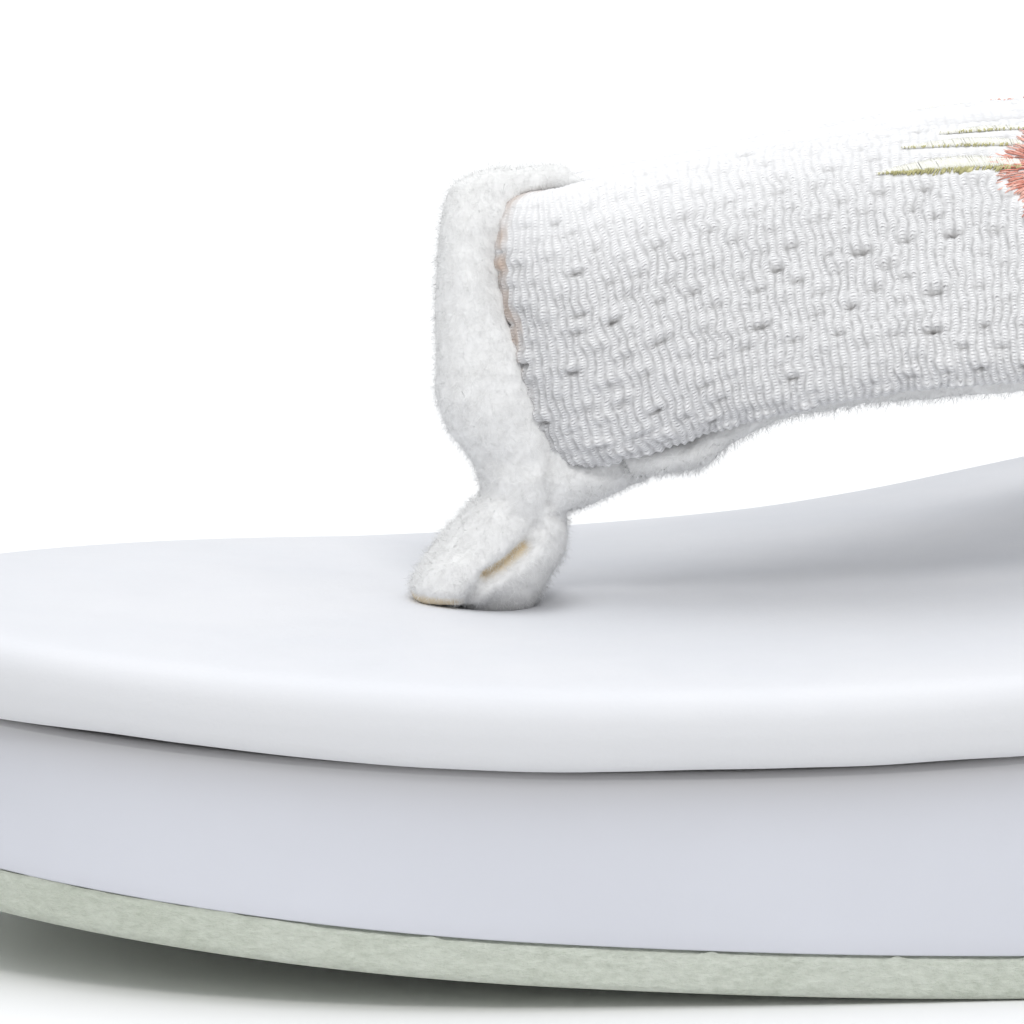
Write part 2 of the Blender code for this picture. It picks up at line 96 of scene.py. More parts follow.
RUN = [
    Run(0.000, 0.000, 0.000, 8.0, 0.888, 0.91),
    Run(0.075, 0.054, 0.230, 24.0, 0.890, 0.92),
    Run(0.157, 0.134, 0.445, 33.0, 0.915, 0.94),
    Run(0.250, 0.215, 0.650, 40.0, 0.955, 0.96),
    Run(0.354, 0.315, 0.830, 45.0, 1.000, 0.98),
    Run(0.470, 0.465, 0.965, 47.0, 1.000, 1.00),
    Run(0.586, 0.635, 1.000, 46.0, 1.000, 1.00),
    Run(0.703, 0.795, 0.950, 43.0, 0.970, 0.98),
    Run(0.808, 0.912, 0.810, 37.0, 0.880, 0.92),
    Run(0.905, 0.977, 0.570, 28.0, 0.740, 0.82),
    Run(0.975, 1.000, 0.260, 20.0, 0.580, 0.70),
    Run(1.000, 1.000, 0.000, 16.0, 0.480, 0.62),
]


# Shapes shared with the solids

def smooth(at, known, values):
    """A cubic through the known values that never overshoots them."""
    at = np.asarray(at, float)
    step = np.diff(known)
    slope = np.diff(values) / step
    tangent = np.empty(len(values))
    tangent[0], tangent[-1] = slope[0], slope[-1]
    before, after = slope[:-1], slope[1:]
    same = before * after > 0
    tangent[1:-1] = np.where(same, 2 * before * after / np.where(same, before + after, 1.0), 0.0)
    index = np.clip(np.searchsorted(known, at, side="right") - 1, 0, len(step) - 1)
    width = step[index]
    t = (at - known[index]) / width
    rise = values[index + 1] - values[index]
    a = tangent[index] * width - rise
    b = -tangent[index + 1] * width + rise
    return values[index] + t * rise + t * (1 - t) * ((1 - t) * a + t * b)


def fade(values, start, stop):
    """Goes from 0 at start to 1 at stop in a straight line, and stays there."""
    return np.clip((np.asarray(values, float) - start) / (stop - start), 0, 1)


def half_width(s):
    s = np.clip(s, 0.0, SOLE_LENGTH)
    body = smooth(s / SOLE_LENGTH, OUTLINE[:, 0], OUTLINE[:, 1])
    toe, heel = fade(s, TOE_ROUND, 0.0), fade(SOLE_LENGTH - s, HEEL_ROUND, 0.0)
    caps = (1 - toe**CAP_POWER) * (1 - heel**CAP_POWER)
    return BALL_WIDTH / 2 * body * np.clip(caps, 0.0, 1.0) ** (1 / CAP_POWER)


def rocker(s):
    return fade(s, SPRING_LENGTH, 0.0) ** SPRING_POWER


def ground_height(s):
    return TOE_SPRING * rocker(s)


def top_height(s):
    rise = smooth(fade(s, WEDGE_START, SOLE_LENGTH), WEDGE[:, 0], WEDGE[:, 1])
    return FRONT_HEIGHT + TOE_LIFT * rocker(s) + (HEEL_HEIGHT - FRONT_HEIGHT) * rise


def from_toe(points):
    return points[..., 0] + SOLE_LENGTH / 2


def unit(vectors):
    return vectors / np.maximum(np.linalg.norm(vectors, axis=-1, keepdims=True), 1e-12)


def travel(points):
    """The distance along a line of points, from its first one."""
    return np.concatenate([[0], np.cumsum(np.linalg.norm(np.diff(points, axis=0), axis=1))])


def read_rows(at, known, rows):
    return np.stack([np.interp(at, known, rows[:, k]) for k in range(rows.shape[1])], -1)


def lattice_noise(x, y, seed):
    """Smooth noise from -1 to 1, one random value a unit apart each way."""
    table = np.random.default_rng(seed).uniform(-1, 1, (256, 256))
    xi, yi = np.floor(x).astype(int), np.floor(y).astype(int)
    fx, fy = x - xi, y - yi
    fx, fy = fx * fx * (3 - 2 * fx), fy * fy * (3 - 2 * fy)
    a = table[xi % 256, yi % 256]
    b = table[(xi + 1) % 256, yi % 256]
    c = table[xi % 256, (yi + 1) % 256]
    d = table[(xi + 1) % 256, (yi + 1) % 256]
    return (a * (1 - fx) + b * fx) * (1 - fy) + (c * (1 - fx) + d * fx) * fy


# Mesh helpers

MIRROR = np.array([1.0, -1.0, 1.0])


def link_object(name, data):
    made = bpy.data.objects.new(name, data)
    bpy.context.scene.collection.objects.link(made)
    return made


def keep_values(mesh, name, values):
    """Keep a number or a vector for each vertex of a mesh."""
    kind, field = (("FLOAT", "value"), ("FLOAT_VECTOR", "vector"))[np.ndim(values) - 1]
    attribute = mesh.attributes.new(name, kind, "POINT")
    attribute.data.foreach_set(field, np.asarray(values, np.float32).ravel())


def mesh_object(name, vertices, faces, attributes=None):
    """A mesh object from arrays; faces is a list of arrays, each of one number of corners."""
    mesh = bpy.data.meshes.new(name)
    vertices = np.asarray(vertices, float).reshape(-1, 3)
    mesh.vertices.add(len(vertices))
    mesh.vertices.foreach_set("co", vertices.astype(np.float32).ravel())
    corners = np.concatenate([np.asarray(f, int).ravel() for f in faces])
    sizes = np.concatenate([np.full(len(f), np.shape(f)[1]) for f in faces])
    starts = np.concatenate([[0], np.cumsum(sizes)[:-1]])
    mesh.loops.add(len(corners))
    mesh.loops.foreach_set("vertex_index", corners.astype(np.int32))
    mesh.polygons.add(len(sizes))
    mesh.polygons.foreach_set("loop_start", starts.astype(np.int32))
    mesh.polygons.foreach_set("use_smooth", np.ones(len(sizes), bool))
    for key, values in (attributes or {}).items():
        keep_values(mesh, key, values)
    mesh.update(calc_edges=True)
    mesh.validate()
    return link_object(name, mesh)


def grid_faces(rows, columns):
    """Quads between the points of a grid whose last column meets its first."""
    i = np.arange(rows - 1)[:, None]
    j = np.arange(columns)[None, :]
    k = (j + 1) % columns
    below, above = i * columns, (i + 1) * columns
    return np.stack([below + j, below + k, above + k, above + j], -1).reshape(-1, 4)


def tube_faces(rows, columns):
    """The faces of a tube of rings: its wall, its first end and its last end."""
    ring = np.arange(columns)
    return [grid_faces(rows, columns), ring[None, ::-1], (rows - 1) * columns + ring[None, :]]


def vertex_array(mesh):
    co = np.zeros(len(mesh.vertices) * 3, np.float32)
    mesh.vertices.foreach_get("co", co)
    return co.reshape(-1, 3).astype(float)


def move_vertices(mesh, co):
    mesh.vertices.foreach_set("co", co.astype(np.float32).ravel())
    mesh.update()


def apply_modifiers(made):
    shaped = made.evaluated_get(bpy.context.evaluated_depsgraph_get())
    mesh = bpy.data.meshes.new_from_object(shaped)
    made.modifiers.clear()
    made.data = mesh


def fix_normals(made):
    bm = bmesh.new()
    bm.from_mesh(made.data)
    bmesh.ops.recalc_face_normals(bm, faces=bm.faces)
    bm.to_mesh(made.data)
    bm.free()


def place(made, surface, slot, *nodes):
    """Give a piece its material and say what it rides on and stands for."""
    made.data.materials.clear()
    made.data.materials.append(surface)
    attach(made, "root")
    if nodes:
        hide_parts(*nodes)


# Materials

# The cover's rolled rim side: a painted shade, greyer than the top though it is the same leather.
RIM_SIDE_SHADE = (0.615, 0.62, 0.64)
BAND = (0.60, 0.612, 0.665)
WEAVE_LIGHT = (0.90, 0.90, 0.91)
WEAVE_GROOVE_SHADE = (0.34, 0.335, 0.34)
BEAD_PITCH = 0.23


def put(tree, value, socket):
    """Set a socket to a value or link it to an output."""
    if isinstance(value, bpy.types.NodeSocket):
        tree.links.new(value, socket)
    else:
        socket.default_value = value


def add_node(tree, kind, **settings):
    """A new node; a setting that starts with a capital is for the input of that name."""
    made = tree.nodes.new("ShaderNode" + kind)
    for key, value in settings.items():
        if key[0].isupper():
            put(tree, value, made.inputs[key.replace("_", " ")])
        else:
            setattr(made, key, value)
    return made


class Surface:
    """A material with short ways to add and join nodes."""

    def __init__(self, name, colour, roughness, **sockets):
        self.made = bpy.data.materials.new(name)
        self.made.use_nodes = True
        self.tree = self.made.node_tree
        self.shader = self.tree.nodes["Principled BSDF"]
        self.set(Base_Color=(*colour, 1.0), Roughness=roughness, **sockets)

    def set(self, **sockets):
        for key, value in sockets.items():
            put(self.tree, value, self.shader.inputs[key.replace("_", " ")])

    def node(self, kind, **settings):
        return add_node(self.tree, kind, **settings)

    def math(self, operation, *values):
        made = self.node("Math", operation=operation)
        for value, socket in zip(values, made.inputs):
            put(self.tree, value, socket)
        return made.outputs[0]

    def times(self, first, second):
        return self.math("MULTIPLY", first, second)

    def attribute(self, name, output="Fac"):
        return self.node("Attribute", attribute_type="GEOMETRY", attribute_name=name).outputs[output]

    def geometry(self, output):
        return self.node("NewGeometry").outputs[output]

    def parts(self, vector):
        return self.node("SeparateXYZ", Vector=vector).outputs

    def noise(self, scale, detail=3.0, rough=0.5, vector=None):
        at = self.geometry("Position") if vector is None else vector
        return self.node("TexNoise", Vector=at, Scale=scale, Detail=detail, Roughness=rough).outputs["Fac"]

    def stretched(self, factors):
        made = self.node("VectorMath", operation="MULTIPLY")
        put(self.tree, self.geometry("Position"), made.inputs[0])
        put(self.tree, factors, made.inputs[1])
        return made.outputs[0]

    def remap(self, value, low, high, to_low=0.0, to_high=1.0):
        limits = {"From_Min": low, "From_Max": high, "To_Min": to_low, "To_Max": to_high}
        return self.node("MapRange", Value=value, **limits).outputs["Result"]

    def mix(self, share, *colours):
        made = self.node("Mix", data_type="RGBA")
        put(self.tree, share, made.inputs[0])
        for value, socket in zip(colours, (made.inputs[6], made.inputs[7])):
            put(self.tree, (*value, 1.0) if isinstance(value, tuple) else value, socket)
        return made.outputs[2]

    def bump(self, height, distance, strength):
        """Add a bump under those already there."""
        made = self.node("Bump", Strength=strength, Distance=distance, Height=height)
        normal = self.shader.inputs["Normal"]
        if normal.is_linked:
            put(self.tree, normal.links[0].from_socket, made.inputs["Normal"])
        self.set(Normal=made.outputs["Normal"])


def insole_leather():
    s = Surface("white_leather_cover", (0.735, 0.742, 0.77), 0.55, Specular_IOR_Level=0.25)
    base = s.mix(s.remap(s.noise(60, 4.0), 0.35, 0.65), (0.700, 0.709, 0.742), (0.728, 0.733, 0.760))
    # Painted shade: the less the cover's normal points up at the rim, the more it takes the greyer rim side
    # colour.
    upright = s.parts(s.geometry("Normal"))[2]
    base = s.mix(s.remap(upright, 0.30, 0.97, 1.0, 0.0), base, RIM_SIDE_SHADE)
    # Painted shade: the cover is darkened round the thong's rear foot, where the thong's shade falls.
    s.set(Base_Color=s.mix(s.attribute("contact_painted_shade"), base, (0.30, 0.30, 0.315)))
    s.set(Roughness=s.remap(s.noise(300), 0.3, 0.7, 0.48, 0.62))
    s.bump(s.noise(2600, 2.0), 0.00004, 0.5)
    s.bump(s.noise(500), 0.00006, 0.4)
    return s.made


def side_leather():
    s = Surface("lavender_side_wrap", BAND, 0.45, Specular_IOR_Level=0.25)
    base = s.mix(s.remap(s.noise(35), 0.35, 0.65), BAND, tuple(c * 1.05 for c in BAND))
    # Painted shade: the side wrap is darkened just below the overhanging rim, where the rim's shade falls.
    s.set(Base_Color=s.mix(s.times(s.attribute("rim_painted_shade"), 0.95), base, (0.37, 0.36, 0.355)))
    s.set(Roughness=s.remap(s.noise(250), 0.3, 0.7, 0.38, 0.50))
    s.bump(s.noise(1800, 2.0), 0.00002, 0.35)
    return s.made


def outsole_suede():
    s = Surface("pale_green_split_leather", (0.46, 0.50, 0.42), 0.9, Sheen_Weight=0.1)
    fibres = s.noise(1.0, 5.0, 0.7, s.stretched((1100, 1100, 2600)))
    base = s.mix(s.remap(fibres, 0.30, 0.70), (0.43, 0.465, 0.395), (0.64, 0.675, 0.60))
    along = s.parts(s.geometry("Position"))[0]
    base = s.mix(s.remap(along, -0.110, -0.072, 0.30, 0.0), base, (0.36, 0.40, 0.31))
    s.set(Base_Color=s.mix(s.remap(s.noise(150, 4.0), 0.3, 0.7, 0.0, 0.35), base, (0.62, 0.645, 0.59)))
    s.bump(fibres, 0.00035, 0.7)
    s.bump(s.noise(420), 0.0004, 0.5)
    return s.made


def weave_silk():
    """Crepe threads, with painted shade in their grooves and pits: weave holds rib number, millimetres
    across, and a tint above zero or a pit's painted shade below it; relief is the cords' depth and scales the
    painted groove shade."""
    s = Surface("white_crepe_weave", WEAVE_LIGHT, 0.5, Specular_IOR_Level=0.3, Sheen_Weight=0.1)
    relief = s.attribute("relief")
    rib, across, tint = s.parts(s.attribute("weave", "Vector"))
    parity = s.times(s.math("MODULO", s.math("FLOOR", rib), 2.0), 0.5)
    uneven = s.times(s.noise(1500, 2.0), 1.6)
    bead = s.math("ADD", s.math("ADD", s.times(across, 1 / BEAD_PITCH), parity), uneven)
    bead = s.math("POWER", s.math("ABSOLUTE", s.math("SINE", s.times(bead, math.pi))), 0.6)
    crown = s.math("SINE", s.times(s.math("FRACT", rib), math.pi))
    height = s.times(s.math("POWER", crown, 2.2), s.math("ADD", s.times(bead, 0.40), 0.60))
    s.bump(s.times(height, relief), 0.00020, 0.9)
    s.bump(s.noise(3500, 2.0), 0.00003, 0.5)
    # Painted shade: the weave is darkened in the grooves between cords and between beads, more where the
    # relief is deep.
    broken = s.remap(s.noise(2600, 1.0), 0.35, 0.65, 0.55, 1.0)
    shade_between_cords = s.times(s.remap(crown, 0.25, 1.0, 0.80, 0.0), broken)
    shade_between_beads = s.remap(bead, 0.20, 0.95, 0.60, 0.0)
    groove = s.times(s.math("MAXIMUM", shade_between_cords, shade_between_beads), relief)
    base = s.mix(groove, WEAVE_LIGHT, WEAVE_GROOVE_SHADE)
    # Painted shade: the pits under the float blocks are darkened towards near black.
    pit = s.math("MAXIMUM", s.times(tint, -1.0), 0.0)
    base = s.mix(s.times(pit, 0.8), base, (0.20, 0.19, 0.18))
    s.set(Base_Color=s.mix(s.math("MAXIMUM", tint, 0.0), base, (0.50, 0.36, 0.27)))
    return s.made


def fleece(name, tan=False, pile=False):
    s = Surface(name, (0.80, 0.80, 0.795), 0.95, Sheen_Weight=0.1, Specular_IOR_Level=0.05)
    if pile:
        base = s.mix(s.attribute("blade"), (0.74, 0.74, 0.735), (0.93, 0.93, 0.925))
    else:
        base = s.mix(s.remap(s.noise(900, 4.0), 0.3, 0.7), (0.75, 0.748, 0.742), (0.85, 0.85, 0.847))
    if tan:
        base = s.mix(s.attribute("tan"), base, (0.70, 0.58, 0.39))
    # Painted shade: the fleece is darkened at the very foot of the rear strand, where its own shade falls.
    s.set(Base_Color=s.mix(s.attribute("foot"), base, (0.24, 0.24, 0.25)))
    s.bump(s.noise(2200), 0.00012, 0.5)
    return s.made


def thread(name, colour, dark):
    s = Surface(name, colour, 0.38, Specular_IOR_Level=0.45, Sheen_Weight=0.15)
    s.set(Base_Color=s.mix(s.remap(s.noise(2500, 2.0), 0.35, 0.65), dark, colour))
    return s.made


# Sole

COVER_CROWN = 0.0005
DIMPLE = 0.0006
RIM_WAVE, RIM_RIPPLE, WALL_RIPPLE, EDGE_FUZZ = 0.00030, 0.00011, 0.00008, 0.00009
RIM_SHADE_DEPTH = 0.0023
BAND_CORNER = 0.00012
SIDE_POINTS, EDGE_POINTS = 480, 1200
INSOLE_GRID, BAND_GRID, OUTSOLE_GRID = 40, 12, 6


def round_outline(count):
    """Points round the sole from the toe's tip along the -Y side, with outward directions."""
    half = count // 2
    turn = np.linspace(0, math.pi, half + 1)
    s = SOLE_LENGTH / 2 * (1 - np.cos(turn))
    w = half_width(s)
    w[0] = w[-1] = 0.0
    points = np.concatenate([np.stack([s, -w], 1), np.stack([s[-2:0:-1], w[-2:0:-1]], 1)])
    along = np.roll(points, -1, axis=0) - np.roll(points, 1, axis=0)
    outward = np.stack([along[:, 1], -along[:, 0]], 1)
    return points, unit(outward)


def layer(name, count, across, rows):
    """A closed layer of the sole, with gridded top and foot; a row is (inset, height), low to high."""
    points, outward = round_outline(count)
    rings = []
    for inset, height in rows:
        moved = points - outward * np.reshape(inset, (-1, 1))
        rings.append(np.stack([moved[:, 0] - SOLE_LENGTH / 2, moved[:, 1], height(moved[:, 0])], 1))
    vertices = [np.concatenate(rings)]
    faces = [grid_faces(len(rings), count)]
    total = len(rings) * count
    half = count // 2
    near = np.arange(1, half)
    far = count - near
    t = np.linspace(0, 1, across + 1)[1:-1]
    for ring, base, flip in ((rings[0], 0, True), (rings[-1], (len(rings) - 1) * count, False)):
        inner = ring[near][:, None] * (1 - t)[:, None] + ring[far][:, None] * t[:, None]
        inner_index = total + np.arange(len(near) * len(t)).reshape(len(near), len(t))
        total += inner_index.size
        vertices.append(inner.reshape(-1, 3))
        table = np.concatenate([(base + near)[:, None], inner_index, (base + far)[:, None]], 1)
        quads = np.stack([table[:-1, :-1], table[1:, :-1], table[1:, 1:], table[:-1, 1:]], -1).reshape(-1, 4)
        first = np.stack([np.full(across, base), table[0, :-1], table[0, 1:]], 1)
        last = np.stack([np.full(across, base + half), table[-1, 1:], table[-1, :-1]], 1)
        if flip:
            quads, first, last = quads[:, ::-1], first[:, ::-1], last[:, ::-1]
        faces += [quads, first, last]
    quads = np.concatenate([f for f in faces if f.shape[1] == 4])
    triangles = np.concatenate([f for f in faces if f.shape[1] == 3])
    return mesh_object(name, np.concatenate(vertices), [quads, triangles])


def draft_inset(s, share):
    fall = top_height(s) - INSOLE_THICK - ground_height(s)
    return RIM_OVERHANG + SIDE_DRAFT * fall * share


def cut(target, cutters):
    """Cut the holes as the solids have them."""
    for cutter in cutters:
        modifier = target.modifiers.new("cut", "BOOLEAN")
        modifier.operation = "DIFFERENCE"
        modifier.solver = "EXACT"
        modifier.object = cutter
    apply_modifiers(target)


def make_insole(count):
    """The padded cover: its rolled rim, with slow and quick waves along the lower edge."""
    points = round_outline(count)[0]
    s, side = points[:, 0], np.sign(points[:, 1])
    wave = lattice_noise(s * 60, side + 5.0, 3) * RIM_WAVE
    wave += lattice_noise(s * 170, side + 9.0, 4) * RIM_RIPPLE
    at = np.linspace(0, len(RIM) - 1, 33)
    inset = smooth(at, np.arange(len(RIM)), RIM[:, 0]) * RIM_ROLL
    level = smooth(at, np.arange(len(RIM)), RIM[:, 1])

    def rim_height(b):
        low = max(0.0, 1 - b / 0.5)
        return lambda x: top_height(x) - INSOLE_THICK * (1 - b) + wave * low

    rows = [(np.full(count, a), rim_height(b)) for a, b in zip(inset, level)]
    insole = layer("insole_cover", count, INSOLE_GRID, rows)
    dimple(insole)
    return insole


def make_midsole(count):
    """The wrapped side: a small corner at the foot, a faintly rippled wall and a rounded top edge."""
    points = round_outline(count)[0]
    s, side = points[:, 0], np.sign(points[:, 1])
    foot = lambda x: ground_height(x) + OUTSOLE_THICK + SEAM_GAP
    low_z = lambda x: foot(x) + BAND_CORNER
    high_z = lambda x: top_height(x) - INSOLE_THICK - SEAM_GAP * 0.35 - EDGE_ROUND
    between = lambda k: lambda x: low_z(x) * (1 - k) + high_z(x) * k
    wall, top = draft_inset(s, 1.0), draft_inset(s, 0.0)
    rows = [
        (wall + BAND_CORNER, foot),
        (wall + BAND_CORNER * 0.3, lambda x: foot(x) + BAND_CORNER * 0.3),
        (wall, low_z),
    ]
    for share in 1 - np.linspace(1, 0, 18)[1:-1] ** 1.8:
        ripple = lattice_noise(s * 45 + 3, np.full(count, share * 3) + side, 8) * WALL_RIPPLE
        rows.append((draft_inset(s, 1 - share) + ripple * math.sin(math.pi * share), between(share)))
    rows += [(top, high_z), (top + EDGE_ROUND, lambda x: high_z(x) + EDGE_ROUND)]
    return layer("midsole_wrap", count, BAND_GRID, rows)


def make_outsole(count):
    """The outsole: a fuzzy cut edge, and a joint that opens and closes along its top."""
    points = round_outline(count)[0]
    s = points[:, 0]
    run = travel(points) * 1000
    rough = lattice_noise(run * 0.21, np.zeros(count), 11)
    ragged = lattice_noise(run * 0.85, np.zeros(count), 12)
    closed = np.clip(5.0 * (0.8 * rough + 0.3 * ragged - 0.5), 0.0, 1.0)
    forward = fade(s, 0.026, 0.020)
    close = SEAM_GAP * (0.38 + 0.62 * np.maximum(closed, forward) + 0.10 * ragged)
    wall = draft_inset(s, 1.0)
    above = lambda lift: lambda x: ground_height(x) + lift
    rows = [(wall + EDGE_ROUND, above(0.0)), (wall + EDGE_ROUND * 0.3, above(EDGE_ROUND * 0.4))]
    for share in np.linspace(0.2, 0.9, 6):
        fuzz = lattice_noise(run * 0.9, np.full(count, share * 9), 13) * EDGE_FUZZ
        rows.append((wall + fuzz, above(OUTSOLE_THICK * share)))
    rows += [
        (wall + 0.00005 * ragged, above(OUTSOLE_THICK + close)),
        (wall + 0.00028, above(OUTSOLE_THICK + close * 0.5)),
        (wall + 0.00036, above(OUTSOLE_THICK + SEAM_GAP * 0.9)),
    ]
    return layer("outsole_leather_layer", count, OUTSOLE_GRID, rows)


def rim_shade(points):
    """The side wrap's shade below the overhanging rim."""
    drop = top_height(from_toe(points)) - INSOLE_THICK - points[:, 2]
    return np.exp(-np.clip(drop, 0, None) / RIM_SHADE_DEPTH)


def make_sole(cutters):
    insole = make_insole(SIDE_POINTS)
    midsole = make_midsole(SIDE_POINTS)
    outsole = make_outsole(EDGE_POINTS)
    cut(insole, cutters)
    cut(midsole, cutters)
    for cutter in cutters:
        bpy.data.objects.remove(cutter, do_unlink=True)
    # The cover keeps the painted shade round the thong's foot.
    keep_values(insole.data, "contact_painted_shade", contact_shade(vertex_array(insole.data)))
    keep_values(midsole.data, "rim_painted_shade", rim_shade(vertex_array(midsole.data)))
    place(insole, insole_leather(), "insole_cover", "insole")
    place(midsole, side_leather(), "wrapped_side", "midsole")
    place(outsole, outsole_suede(), "outsole_leather", "outsole")


def contact_shade(points):
    """The cover's shade close to the thong's rear foot."""
    s = from_toe(points) - 0.0478
    reach = np.hypot(s / np.where(s < 0, 0.0052, 0.0058), points[:, 1] / 0.0085)
    return 0.60 * np.exp(-np.clip(reach - 0.50, 0, None) ** 2 / 0.10)


def dimple(insole):
    """The padded cover is a little crowned and dips where the thong pulls it down its hole."""
    co = vertex_array(insole.data)
    s = from_toe(co)
    reach = np.hypot((s - FRONT_HOLE_AT) / 0.0046, co[:, 1] / 0.0050)
    top = co[:, 2] > top_height(s) - INSOLE_THICK * 0.2
    inward = np.clip(1 - (co[:, 1] / np.maximum(half_width(s), 0.001)) ** 2, 0, 1)
    ends = fade(s, 0.0, 0.030) * fade(SOLE_LENGTH - s, 0.0, 0.030)
    co[:, 2] += np.where(top, COVER_CROWN * inward * ends - DIMPLE * np.exp(-reach**2), 0.0)
    move_vertices(insole.data, co)


# Straps

TURN_STEPS = 24
RUN_STEPS = 600
EVEN_STEPS = 560
EASING = 0.0011


def eased(values, step, sign):
    """Smooth a table along the strap; before the middle of the nose it goes on as its mirror image."""
    reach = int(4 * EASING / step)
    kernel = np.exp(-0.5 * (np.arange(-reach, reach + 1) * step / EASING) ** 2)
    before = values[reach:0:-1] * sign
    after = 2 * values[-1] - values[-2:-reach - 2:-1]
    return np.convolve(np.concatenate([before, values, after]), kernel / kernel.sum(), mode="valid")


def half_strap():
    """Dense stations of the -Y strap, from the middle of the nose to the rear hole."""
    nose_at = FRONT_HOLE_AT + OUTER_SHARE * RUN[0].thick * STRAP_THICK + NOSE_RADIUS
    half = RUN[0].width * STRAP_WIDTH / 2
    nose_z = float(top_height(FRONT_HOLE_AT)) + THONG_HEIGHT - FOLD_THICK - SEAM_GAP
    nose_z -= half * math.cos(NOSE_TILT)
    slope = math.tan(NOSE_TILT)
    turn = np.linspace(0, math.pi / 2, TURN_STEPS + 1)[:-1]
    turn_s = nose_at - NOSE_RADIUS * np.cos(turn)
    turn_y = NOSE_RADIUS * np.sin(turn)
    turn_z = nose_z + slope * (turn_s - nose_at + NOSE_RADIUS)
    turn_lean = -NOSE_TILT + (math.radians(RUN[0].lean) + NOSE_TILT) * (1 - np.cos(2 * turn)) / 2
    rows = np.arange(len(RUN), dtype=float)
    at = np.linspace(0, len(RUN) - 1, RUN_STEPS + 1)
    run = {key: smooth(at, rows, np.array([getattr(r, key) for r in RUN])) for key in Run._fields}
    start_z = nose_z + slope * NOSE_RADIUS
    end_z = float(top_height(REAR_HOLE_AT)) - STRAP_SINK
    s = np.concatenate([turn_s, nose_at + (REAR_HOLE_AT - nose_at) * run["back"]])
    y = np.concatenate([turn_y, NOSE_RADIUS + (REAR_HOLE_OUT - NOSE_RADIUS) * run["out"]])
    z = np.concatenate([turn_z, start_z + (end_z - start_z) * run["back"] + STRAP_ARCH * run["arch"]])
    still = np.ones(TURN_STEPS)
    lean = np.concatenate([turn_lean, np.radians(run["lean"])])
    width = STRAP_WIDTH * np.concatenate([still * RUN[0].width, run["width"]])
    thick = STRAP_THICK * np.concatenate([still * RUN[0].thick, run["thick"]])
    length = travel(np.stack([s, y, z], 1))
    even = np.linspace(0, length[-1], EVEN_STEPS)
    s, y, z, lean, width, thick = (
        eased(np.interp(even, length, values), even[1], sign)
        for values, sign in ((s, 1), (y, -1), (z, 1), (lean, 1), (width, 1), (thick, 1))
    )
    centre = np.stack([s - SOLE_LENGTH / 2, -y, z], 1)
    tangent = np.gradient(centre, even, axis=0)
    tangent[0] = (0.0, -1.0, 0.0)
    tangent = unit(tangent)
    side = unit(np.cross(tangent, (0.0, 0.0, 1.0)))
    up = np.cross(side, tangent)
    cos, sin = np.cos(lean)[:, None], np.sin(lean)[:, None]
    out, across = cos * side + sin * up, cos * up - sin * side
    crown = centre + out * (OUTER_SHARE * thick)[:, None]
    return {
        "length": travel(crown), "centre": centre, "out": out, "across": across,
        "width": width, "thick": thick,
    }


STRAP = half_strap()


def section_at(q):
    """The strap's section at q, from 0 to 14 round it, through the table's points."""
    count = len(SECTION)
    i = np.floor(q).astype(int)
    t = (q - i)[..., None]
    a, b, c, d = (SECTION[(i + k) % count] for k in (-1, 0, 1, 2))
    return b + 0.5 * t * (c - a + t * (2 * a - 5 * b + 4 * c - d + t * (3 * (b - c) + d - a)))


def strap_points(length, q, grow=0.0):
    """Points of the strap's skin at a length from the nose and a place q round the section."""
    length, q = np.broadcast_arrays(length, q)

    def read(key):
        table = STRAP[key]
        if table.ndim == 1:
            return np.interp(length, STRAP["length"], table)
        return read_rows(length, STRAP["length"], table)

    shape = section_at(q)
    along_across = shape[..., 0] * (read("width") / 2 + grow)
    along_out = shape[..., 1] * read("thick") + np.sign(shape[..., 1]) * grow
    return read("centre") + read("across") * along_across[..., None] + read("out") * along_out[..., None]


RIB_PITCH = 0.00066
RIB_SAMPLES = 4
RIB_HEIGHT, CREPE_DEPTH, FLOAT_HEIGHT, PIT_DEPTH = 0.00019, 0.00014, 0.00042, 0.00055
RIB_WANDER, RIB_SWAY, FLOAT_PUSH = 0.00015, 0.00018, 0.00022
OUTER_COLUMNS = 112
INNER_COLUMNS = 14
# Depth of the weave's relief round the section, full on the outer face
RELIEF = np.array([
    (-0.6, 0.70), (0.2, 1.00), (5.6, 1.00), (7.0, 0.62), (7.8, 0.38), (8.6, 0.25), (12.6, 0.30), (13.4, 0.60),
])
# Half the thong sheath's width in mm by share of the thong's height
SHEATH = np.array([(0.40, 3.4), (0.48, 3.3), (0.62, 3.3), (0.80, 2.4), (0.93, 1.7), (1.0, 1.2)])


